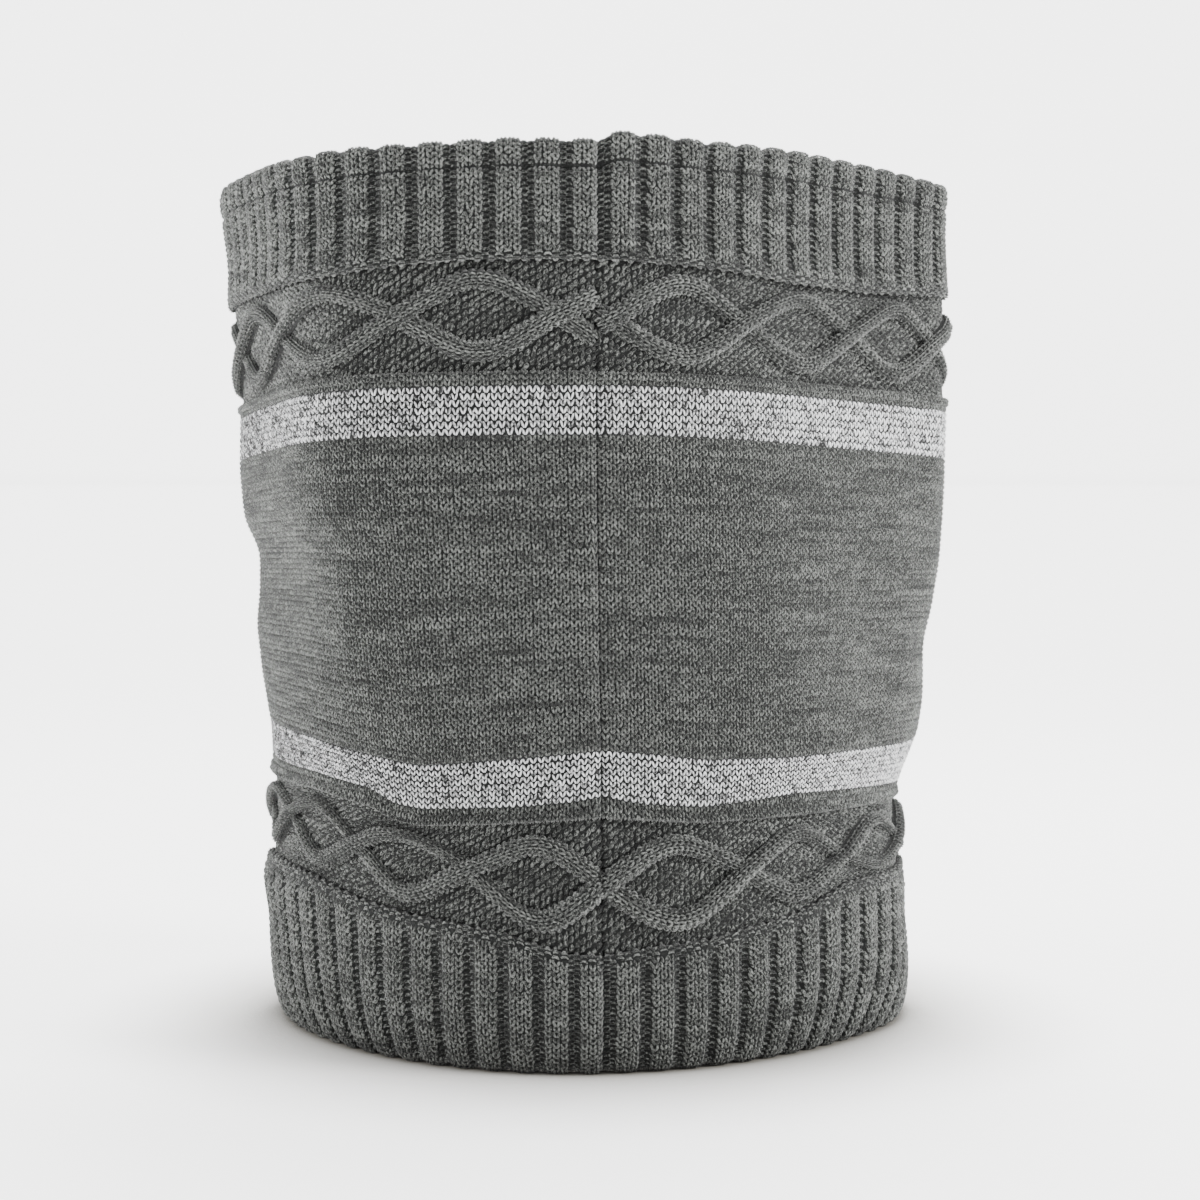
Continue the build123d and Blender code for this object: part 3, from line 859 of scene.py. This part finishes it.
class NeckWarmerYarns(PropertyGroup):
    """Colours of the yarns, in scene linear values."""

    dark: FloatVectorProperty(
        name="Dark Fibre",
        description="Darkest fibres of the marl",
        subtype="COLOR",
        default=(0.007, 0.0075, 0.0072),
    )
    middle: FloatVectorProperty(
        name="Marl",
        description="Mean colour of the marl",
        subtype="COLOR",
        default=(0.039, 0.0413, 0.038),
    )
    light: FloatVectorProperty(
        name="Light Fibre",
        description="Palest fibres of the marl",
        subtype="COLOR",
        default=(0.225, 0.234, 0.219),
    )
    silver: FloatVectorProperty(
        name="Metallic Thread",
        description="Colour of the silver thread",
        subtype="COLOR",
        default=(0.66, 0.665, 0.67),
    )


# ---------------------------------------------------------------- operators
class NECKWARMER_OT_stage(Operator):
    """Sets up the floor, the backdrop, the soft lights and the camera"""

    bl_idname = "neck_warmer.stage"
    bl_label = "Stage"

    def execute(self, context):
        make_camera(context.scene)
        make_floor()
        make_lights(context.scene)
        return {"FINISHED"}


class NECKWARMER_OT_top_rib(Operator):
    """Makes the ribbed rim, folded over at the top"""

    bl_idname = "neck_warmer.top_rib"
    bl_label = "Top Rib"

    def execute(self, context):
        profile = top_rib_profile()
        to_points = band_map(profile, rib_relief(RIB_DEPTH, SEWN_EDGE, hem_at=HEM_CREASE))
        cloth, stitches = rib_band("top_rib", "upper", profile, to_points, SEWN_EDGE, TOP_RIB_WALE)
        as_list(stitches)
        return {"FINISHED"}


class NECKWARMER_OT_bottom_rib(Operator):
    """Makes the ribbed foot that curls under and stands on the floor"""

    bl_idname = "neck_warmer.bottom_rib"
    bl_label = "Bottom Rib"

    def execute(self, context):
        profile = bottom_rib_profile()
        sewn_at = profile.length - SEWN_EDGE
        relief = rib_relief(RIB_DEPTH, sewn_at, pressed_at=FOOT_CURL)
        to_points = band_map(profile, relief, foot_bow)
        cloth, stitches = rib_band("bottom_rib", "lower", profile, to_points, sewn_at, BOTTOM_RIB_WALE)
        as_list(stitches)
        return {"FINISHED"}


def plain_band(node, name, slot, body, key, low, high, rows, metallic=False, halves=1, edge=()):
    """A band of plain knit between two heights: its cloth and its stitches."""
    settings = bpy.context.scene.neck_warmer_knit
    profile = straight_profile(low, high, JERSEY_OUT)
    to_points = band_map(profile)
    grid = (BAND_AROUND, max(3, rows // 3))
    cloth = band_cloth(f"{name}_cloth", node, body, to_points, profile.length, grid)
    rng = np.random.default_rng(SEED + rows)
    row = (high - low) / rows
    if metallic:
        tones = rng.normal(0.55, 0.15, (rows, settings.wales))
        # painted shade: the stripes are darker towards the left-hand fold, where less light falls on them
        side = np.sin(2 * math.pi * (np.arange(settings.wales) + 0.5) / settings.wales)
        tones = tones - 0.28 * np.clip(side, 0, 1) ** 3
    else:
        tones = stitch_tones(settings.wales, rows, rng)
    u, v = stitch_grid(settings.wales, rows, row)
    for half in range(halves):
        pick = (np.arange(settings.wales) * halves // settings.wales) == half
        suffix = f"_{half + 1}" if halves > 1 else ""
        stitches = knit(
            f"{name}_stitches{suffix}",
            to_points,
            METALLIC_STITCH if metallic else KNIT_STITCH,
            u[:, pick].ravel(),
            v[:, pick].ravel(),
            GIRTH / settings.wales,
            row,
            0.0,
            tones[:, pick].ravel(),
        )
        dress(stitches, key, body)
    return cloth


class NECKWARMER_OT_main_panel(Operator):
    """Makes the plain knit middle of the tube"""

    bl_idname = "neck_warmer.main_panel"
    bl_label = "Main Panel"

    def execute(self, context):
        rows = round((Z_PANEL_TOP - Z_PANEL_BOTTOM) / context.scene.neck_warmer_knit.row)
        ends = (Z_PANEL_BOTTOM, Z_PANEL_TOP)
        plain_band("main_panel", "main_panel", "jersey_knit", "middle", "marl", *ends, rows, halves=2)
        return {"FINISHED"}


class NECKWARMER_OT_stripes(Operator):
    """Makes the two stripes with silver thread"""

    bl_idname = "neck_warmer.stripes"
    bl_label = "Metallic Stripes"

    def execute(self, context):
        for node, body in (("lower_stripe", "lower"), ("upper_stripe", "upper")):
            low, high = bottom_of(node), top_of(node)
            rows = round((high - low) / context.scene.neck_warmer_knit.row)
            welt = [bpy.data.objects[f"{body}_welt_{part}"] for part in ("cloth", "stitches")]
            plain_band(
                node, node, "metallic_knit", body, "metallic", low, high, rows, metallic=True, edge=welt
            )
        return {"FINISHED"}


class NECKWARMER_OT_welts(Operator):
    """Makes the rolled rows between the stripes and the cable bands"""

    bl_idname = "neck_warmer.welts"
    bl_label = "Welts"

    def execute(self, context):
        settings = context.scene.neck_warmer_knit
        for node, body, flip in (("upper_welt", "upper", False), ("lower_welt", "lower", True)):
            low, high = bottom_of(node), top_of(node)
            section = [
                (0.0, JERSEY_OUT), (0.45, JERSEY_OUT - 0.1 * MM), (0.6, -0.1 * MM), (1.0, 0.4 * MM),
                (1.1, -1.2 * MM), (0.95, -2.2 * MM),
            ]  # fmt: skip
            if flip:
                corners = [(high - t * (high - low), out) for t, out in section][::-1]
            else:
                corners = [(low + t * (high - low), out) for t, out in section]
            profile = Profile(corners)
            to_points = band_map(profile)
            band_cloth(
                f"{node}_cloth", node, body, to_points, profile.length, (BAND_AROUND, 12),
                front=-0.2 * MM, back=-0.9 * MM,
            )  # fmt: skip
            rows = max(2, round(profile.length / settings.row))
            row = profile.length / rows
            u, v = stitch_grid(settings.wales, rows, row)
            tones = stitch_tones(settings.wales, rows, np.random.default_rng(SEED + 3))
            stitches = knit(
                f"{node}_stitches", to_points, KNIT_STITCH, u.ravel(), v.ravel(),
                GIRTH / settings.wales, row, 0.0, tones.ravel(),
            )  # fmt: skip
            dress(stitches, "marl", body)
        return {"FINISHED"}


class NECKWARMER_OT_cable_bands(Operator):
    """Makes the two cable bands: reverse-knit grounds and their crossing strands"""

    bl_idname = "neck_warmer.cable_bands"
    bl_label = "Cable Bands"

    def execute(self, context):
        for band, body in (("lower", "lower"), ("upper", "upper")):
            cloth, purls = make_ground(band, body)
            strands = [make_strand(band, body, strand, side) for strand, side in (("a", 1), ("b", -1))]
        return {"FINISHED"}


def make_ground(band, body):
    """The cable band's ground, knitted sideways with its purl side out."""
    settings = bpy.context.scene.neck_warmer_knit
    node = f"{band}_cable_ground"
    low, high = bottom_of(node), top_of(node)
    profile = straight_profile(low, high, GROUND_OUT)
    to_points = band_map(profile)
    name, grid = f"{band}_cable_cloth", (BAND_AROUND, 14)
    cloth = band_cloth(name, node, body, to_points, profile.length, grid)
    wale = CABLE_WALE
    wales = round((high - low) / wale)
    rows = round(GIRTH / settings.row)
    rng = np.random.default_rng(SEED + wales)
    u, v = stitch_grid(rows, wales, (high - low) / wales)
    # every second stitch stands half a wale higher
    v = v + 0.5 * wale * (np.arange(rows) % 2)[None] - 0.25 * wale
    v = np.clip(v, 0.3 * wale, high - low - 0.3 * wale)
    tones = stitch_tones(rows, wales, rng)
    # painted shade: the ground's tones sit 0.05 lower, as it lies sunk between the strands
    stitches = knit(
        f"{band}_cable_purls", to_points, GROUND_STITCH, u.ravel(), v.ravel(), wale, 1.25 * settings.row,
        0.1 * MM, tones.ravel() - 0.05, sideways=True, spread=0.09,
    )  # fmt: skip
    return cloth, dress(stitches, "ground", body)


# Distances of the crossings from the back seam, leftwards and rightwards, in millimetres;
# the ones between are spread evenly over so many gaps.
CROSSINGS = {
    "upper": ((10.0, 51.6, 99.0), (3.5, 44.5, 89.5, 131.0), 8),
    "lower": ((0.0, 38.5, 79.0, 118.0), (0.0, 43.6, 84.3, 125.0), 9),
}
STRAND_END = 0.9 * MM


def crossing_phase(band, distance):
    """The waves' phase at a distance round the tube: a multiple of pi at each crossing."""
    left, right, gaps = CROSSINGS[band]
    left, right = np.array(left) * MM, GIRTH - np.array(right[::-1]) * MM
    places = np.concatenate([left, np.linspace(left[-1], right[0], gaps + 1)[1:-1], right])
    pitch = places[1] - places[0]
    places = np.concatenate([[places[0] - pitch], places, [places[-1] + pitch]])
    return math.pi * np.interp(distance, places, np.arange(len(places)) - 1)


def strand_map(band, side):
    """Turns (turn, angle round the strand, lift) into points on a cable strand.

    Its centre line swings as a sine with a little of its third harmonic, and it rises over
    its partner wherever it climbs to the right."""
    settings = bpy.context.scene.neck_warmer_knit
    node = f"{band}_cable_ground"
    middle = (bottom_of(node) + top_of(node)) / 2
    swing, half, height = settings.strand_swing, settings.strand_half_width, settings.strand_height
    step = 0.5 * MM

    def centre_at(distance):
        """How far the centre line is above the band's middle, and the waves' phase."""
        phase = crossing_phase(band, distance)
        return side * swing * (np.sin(phase) - 0.05 * np.sin(3 * phase)), phase

    def to_points(turn, angle, lift):
        """Points of the strand, its section across its own slant."""
        distance = turn * GIRTH
        centre, phase = centre_at(distance)
        slope = (centre_at(distance + step)[0] - centre_at(distance - step)[0]) / (2 * step)
        scale = np.sqrt(1 + slope**2)
        across = (half + lift) * np.sin(angle)
        over = 0.35 * MM - side * 0.95 * MM * np.cos(phase)
        inside = np.clip(np.minimum(distance, GIRTH - distance) / (3 * MM), 0, 1)
        over = over - (1 - inside) * 0.6 * MM
        out = GROUND_OUT + over + (height + lift) * np.cos(angle)
        return place(turn - across * slope / scale / GIRTH, middle + centre + across / scale, out)

    around = np.linspace(0, GIRTH, 4000)
    steps = np.hypot(np.diff(around), np.diff(centre_at(around)[0]))
    return to_points, float(steps.sum() / GIRTH)


def make_strand(band, body, strand, side):
    """One cable strand: a knitted cord, its stitches laid along it, on a plain core."""
    settings = bpy.context.scene.neck_warmer_knit
    to_points, longer = strand_map(band, side)
    node = f"{band}_cable_strand_{strand}"
    rows = round(GIRTH * longer / (1.25 * settings.row))
    turns = np.linspace(STRAND_END / GIRTH, 1 - STRAND_END / GIRTH, rows)
    wale_angle = math.radians(40)
    angles = (np.arange(4) - 1.5) * wale_angle
    rng = np.random.default_rng(SEED + side + len(band))
    points, quads, fibre = KNIT_STITCH
    n = rows * len(angles)
    u0, a0 = (grid.ravel() for grid in np.meshgrid(turns, angles))
    local = np.broadcast_to(points, (n, *points.shape)) * (1 + rng.normal(0, 0.06, (n, 1, 3)))
    u = u0[:, None] + local[..., 1] * 1.25 * settings.row / longer / GIRTH
    a = a0[:, None] + local[..., 0] * wale_angle
    stitches = to_points(u, a, local[..., 2] * 2.4 * MM)
    faces = (quads[None] + (np.arange(n) * len(points))[:, None, None]).reshape(-1, 4)
    # painted light and shade: the strand's stitches are 0.08 lighter than plain marl, and darker towards the
    # cord's sides where they turn away from the light
    edge = np.repeat(np.abs(angles) / angles.max(), rows)
    tones = stitch_tones(rows, 4, rng).ravel() + 0.08 - 0.16 * edge**2
    core_u = np.linspace(turns[0], turns[-1], 900)
    core_a = np.linspace(-math.pi, math.pi, 11)[:-1]
    cu, ca = np.meshgrid(core_u, core_a, indexing="ij")
    core = to_points(cu, ca, -0.35 * MM)
    index = np.arange(core_u.size * core_a.size).reshape(core_u.size, core_a.size)
    after = np.roll(index, -1, 1)
    core_faces = np.stack([index[:-1], after[:-1], after[1:], index[1:]], -1).reshape(-1, 4)
    all_points = np.concatenate([stitches.reshape(-1, 3), core.reshape(-1, 3)])
    core_faces = core_faces + n * len(points)
    # the core's tone is zero, so it shows dark between the strand's stitches: painted shade
    attributes = {
        key: np.concatenate([values, np.zeros(index.size)])
        for key, values in fibre_attributes(tones, fibre, rng).items()
    }
    faces = np.concatenate([faces, core_faces])
    flat_stitches = unrolled(u, a) * [1, 0.75]
    flat_core = unrolled(cu, ca) * [1, 0.2] + [0, 0.78]
    layout = np.concatenate([flat_stitches, flat_core])[faces]
    piece = new_piece(f"{band}_cable_{strand}", all_points, faces, attributes, layout)
    dress(piece, "marl", body)
    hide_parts(node)
    return piece


class NECKWARMER_OT_seams(Operator):
    """Makes the back seam's thread, the linking rows between bands and the hem stitches"""

    bl_idname = "neck_warmer.seams"
    bl_label = "Seams"

    def execute(self, context):
        ends = (3 * MM, Z_RIM - 2 * MM)
        seam_column("back_seam_stitches", "back_seam_thread", ends, JERSEY_OUT, -0.5 * MM)
        for node, body in (
            ("lower_rib_linking", "lower"), ("lower_panel_linking", "lower"),
            ("upper_panel_linking", "upper"), ("upper_rib_linking", "upper"),
        ):  # fmt: skip
            stitch_row(f"{node}_row", node, body, -4.9 * MM, inward=False)
        stitch_row("top_hem_row", "top_hem_stitch", "upper", -5.8 * MM, inward=True)
        stitch_row("bottom_hem_row", "bottom_hem_stitch", "lower", -8.6 * MM, inward=True)
        for node in ("label_stitch", "side_tab_stitch"):
            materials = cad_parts[node].data.materials
            materials.clear()
            materials.append(finish_of("thread"))
        return {"FINISHED"}


SEAM_STITCH = faced_out(
    yarn_leg(
        [(-0.5, -0.35), (-0.2, -0.1), (0.2, 0.15), (0.5, 0.4)],
        [0.0, 0.3, 0.3, 0.0],
        [0.1, 0.16, 0.16, 0.1],
    )
)


def seam_column(name, node, ends, out, lift, inward=False):
    """Slanting stitches up the back seam, between two heights."""
    step = 2.4 * MM
    profile = straight_profile(*ends, out, inward)
    levels = np.arange(step / 2, profile.length, step)
    piece = knit(
        name, band_map(profile), SEAM_STITCH, np.zeros(len(levels)), levels, 1.7 * MM, step, lift,
        np.full(len(levels), 0.3),
    )  # fmt: skip
    dress(piece, "thread", "middle")
    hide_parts(node)


def stitch_row(name, node, body, out, inward):
    """One row of chain stitches round the tube at a node's height."""
    middle = (bottom_of(node) + top_of(node)) / 2
    reach = 1.5 * MM
    profile = straight_profile(middle - reach, middle + reach, out, inward)
    count = bpy.context.scene.neck_warmer_knit.wales * 2 // 3
    turns = (np.arange(count) + 0.5) / count
    piece = knit(
        name, band_map(profile), KNIT_STITCH, turns, np.full(count, reach), 2.6 * MM, 2.4 * MM, 0.0,
        np.full(count, 0.4),
    )  # fmt: skip
    dress(piece, "thread", body)
    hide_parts(node)


class NECKWARMER_OT_lining(Operator):
    """Makes the loose fleece lining and its seam"""

    bl_idname = "neck_warmer.lining"
    bl_label = "Lining"

    def execute(self, context):
        low, high = bottom_of("lining"), top_of("lining")
        out = LINING_OUT
        profile = Profile(
            [(low, out + 1.0 * MM), (low + 4 * MM, out), (high - 4 * MM, out), (high, out + 1.2 * MM)]
        )

        def folds(turn, distance):
            """Five slanting waves and three upright ones, which die away at the two edges."""
            slow = np.sin(2 * math.pi * (5 * turn + 2.2 * distance))
            slow = slow + np.sin(2 * math.pi * (3 * turn + 0.3))
            edge = np.clip(np.minimum(distance, profile.length - distance) / (20 * MM), 0, 1)
            return 0.35 * MM * slow * edge

        to_points = band_map(profile, folds)
        lining = shell("fleece_lining", to_points, profile.length, 300, 60, 0.0, LINING_BACK, tone=0.5)
        dress(lining, "fleece", "middle")
        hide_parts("lining")
        ends, face = (low, high), out + LINING_BACK
        seam_column("lining_seam_stitches", "lining_seam_thread", ends, face, 0.1 * MM, inward=True)
        return {"FINISHED"}


LINING_OUT = -7.4 * MM
LINING_BACK = -1.6 * MM


class NECKWARMER_OT_labels(Operator):
    """Makes the blank care label inside and the blank tab at the right-hand fold"""

    bl_idname = "neck_warmer.labels"
    bl_label = "Labels"

    def execute(self, context):
        for node, key, stitch in (
            ("care_label", "label", "label_stitch"), ("side_tab", "tab", "side_tab_stitch"),
        ):  # fmt: skip
            piece = label_tape(node, f"{node}_tape")
            dress(piece, key, node)
            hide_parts(node)
        return {"FINISHED"}


TAPE_BOW = 0.12 * MM
TAPE_THICKNESS = 0.32 * MM


def label_tape(node, name):
    """A thin woven tape between the node's corners.

    It bows out as a cosine across its width times a sine up its height."""
    corners = np.array([v.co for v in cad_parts[node].data.vertices])
    low, high = corners.min(0), corners.max(0)
    centre = (low + high) / 2
    flat = corners[:, :2] - centre[:2]
    along = np.linalg.eigh(flat.T @ flat)[1][:, 1]
    normal = np.array([along[1], -along[0]])
    half = np.abs(flat @ along).max()
    s, t = np.meshgrid(np.linspace(-1, 1, 17), np.linspace(0, 1, 25))
    bow = TAPE_BOW * np.cos(s * math.pi / 2) * np.sin(math.pi * t)
    sides = []
    for face in (TAPE_THICKNESS / 2, -TAPE_THICKNESS / 2):
        xy = centre[:2] + (s * half)[..., None] * along + (bow + face)[..., None] * normal
        z = low[2] + t * (high[2] - low[2])
        sides.append(np.concatenate([xy, z[..., None]], -1).reshape(-1, 3))
    index = np.arange(s.size).reshape(s.shape)
    quads = grid_quads(index)
    rim = np.concatenate([index[0, :], index[1:, -1], index[-1, -2::-1], index[-2:0:-1, 0]])
    after = np.roll(rim, -1)
    walls = np.stack([rim, rim + s.size, after + s.size, after], -1)
    faces = np.concatenate([quads, quads[:, ::-1] + s.size, walls])
    piece = new_piece(name, np.concatenate(sides), faces, {"tone": np.full(2 * s.size, 0.5)})
    mesh = piece.data
    bm = bmesh.new()
    bm.from_mesh(mesh)
    bmesh.ops.recalc_face_normals(bm, faces=bm.faces)
    bm.to_mesh(mesh)
    bm.free()
    return piece


# ---------------------------------------------------------------- stage
def make_camera(scene):
    """A camera about level with the tube's middle, square on to its back seam."""
    seam_x = float(TABLE[LEVELS // 2, 0, 0])
    data = bpy.data.cameras.new("camera")
    data.lens, data.sensor_width = 59.7, 36.0
    data.shift_y = -0.0083
    camera = bpy.data.objects.new("camera", data)
    camera.location = (seam_x, -0.610, 0.128)
    camera.rotation_euler = (math.radians(90), 0, 0)
    scene.collection.objects.link(camera)
    scene.camera = camera


def make_floor():
    """A floor that curves up into a backdrop; both glow a little, more with the distance.

    Where something stands close, ambient occlusion takes its colour and its glow down."""
    across = np.linspace(-4, 4, 9)
    reach = np.array([-3.0, 0.0, 1.2, 2.0, 2.6, 2.9, 3.0, 3.0])
    rise = np.array([0.0, 0.0, 0.0, 0.05, 0.3, 0.9, 1.8, 4.0])
    x, y = np.meshgrid(across, reach)
    z = np.repeat(rise[:, None], len(across), 1)
    points = np.stack([x, y, z + Z_FLOOR], -1).reshape(-1, 3)
    floor = new_piece("floor", points, grid_quads(np.arange(x.size).reshape(x.shape)))
    material, tree, shader = node_tree("pale_floor")
    shader.inputs["Roughness"].default_value = 0.9
    shader.inputs["Emission Color"].default_value = (1, 1, 1, 1)
    where = tree.nodes.new("ShaderNodeTexCoord").outputs["Object"]
    depth = linked(tree, "ShaderNodeSeparateXYZ", Vector=where).outputs["Y"]
    glow = linked(
        tree, "ShaderNodeMapRange", Value=depth, From_Min=0.3, From_Max=2.6, To_Min=1.3, To_Max=2.5
    )
    shade = linked(tree, "ShaderNodeAmbientOcclusion", Distance=0.065)
    shade.samples = 8
    stops = [(0.4, (0.14, 0.13, 0.11)), (0.7, (0.55, 0.54, 0.52)), (0.96, (0.95, 0.95, 0.945))]
    tree.links.new(ramp_node(tree, shade.outputs["AO"], stops), shader.inputs["Base Color"])
    open_sky = math_node(tree, "POWER", shade.outputs["AO"], 3.0)
    strength = math_node(tree, "MULTIPLY", glow.outputs["Result"], open_sky)
    tree.links.new(strength, shader.inputs["Emission Strength"])
    floor.data.materials.append(material)


def make_lights(scene):
    """An even white sky, two soft side lamps and one above and behind."""
    world = bpy.data.worlds.new("studio")
    world.use_nodes = True
    world.node_tree.nodes["Background"].inputs["Color"].default_value = (1, 1, 1, 1)
    world.node_tree.nodes["Background"].inputs["Strength"].default_value = 1.35
    scene.world = world
    lamps = (
        ("key", (1.25, -0.4, 0.75), 33.0, 0.45),
        ("fill", (-1.3, -0.35, 0.55), 19.0, 0.6),
        ("top", (0.1, 0.6, 1.5), 36.0, 0.7),
    )
    for name, where, power, size in lamps:
        lamp = bpy.data.lights.new(name, "AREA")
        lamp.energy, lamp.size = power, size
        holder = bpy.data.objects.new(name, lamp)
        holder.location = where
        aim = np.array([0, 0, 0.12]) - np.array(where)
        flat = math.hypot(aim[0], aim[1])
        holder.rotation_euler = (math.atan2(flat, -aim[2]), 0, math.atan2(-aim[0], aim[1]))
        scene.collection.objects.link(holder)


# ---------------------------------------------------------------- panel and registration
STEPS = (
    "stage", "top_rib", "bottom_rib", "main_panel", "welts", "stripes", "cable_bands", "seams",
    "lining", "labels",
)  # fmt: skip


class NECKWARMER_PT_panel(Panel):
    """Lists the steps that make the neck warmer"""

    bl_label = "Neck Warmer"
    bl_space_type = "VIEW_3D"
    bl_region_type = "UI"
    bl_category = "Neck Warmer"

    def draw(self, context):
        for settings in (context.scene.neck_warmer_knit, context.scene.neck_warmer_yarns):
            for key in settings.__annotations__:
                self.layout.prop(settings, key)
        for step in STEPS:
            self.layout.operator(f"neck_warmer.{step}")


CLASSES = (
    NeckWarmerKnit, NeckWarmerYarns, NECKWARMER_OT_stage, NECKWARMER_OT_top_rib,
    NECKWARMER_OT_bottom_rib, NECKWARMER_OT_main_panel, NECKWARMER_OT_stripes,
    NECKWARMER_OT_welts, NECKWARMER_OT_cable_bands, NECKWARMER_OT_seams,
    NECKWARMER_OT_lining, NECKWARMER_OT_labels, NECKWARMER_PT_panel,
)  # fmt: skip


def register():
    """Adds the settings, the operators and the panel."""
    for cls in CLASSES:
        bpy.utils.register_class(cls)
    bpy.types.Scene.neck_warmer_knit = PointerProperty(type=NeckWarmerKnit)
    bpy.types.Scene.neck_warmer_yarns = PointerProperty(type=NeckWarmerYarns)


def unregister():
    """Takes them out again."""
    del bpy.types.Scene.neck_warmer_knit
    del bpy.types.Scene.neck_warmer_yarns
    for cls in reversed(CLASSES):
        bpy.utils.unregister_class(cls)


def main():
    """Makes every step."""
    register()
    for step in STEPS:
        getattr(bpy.ops.neck_warmer, step)()


if __name__ == "__main__":
    main()
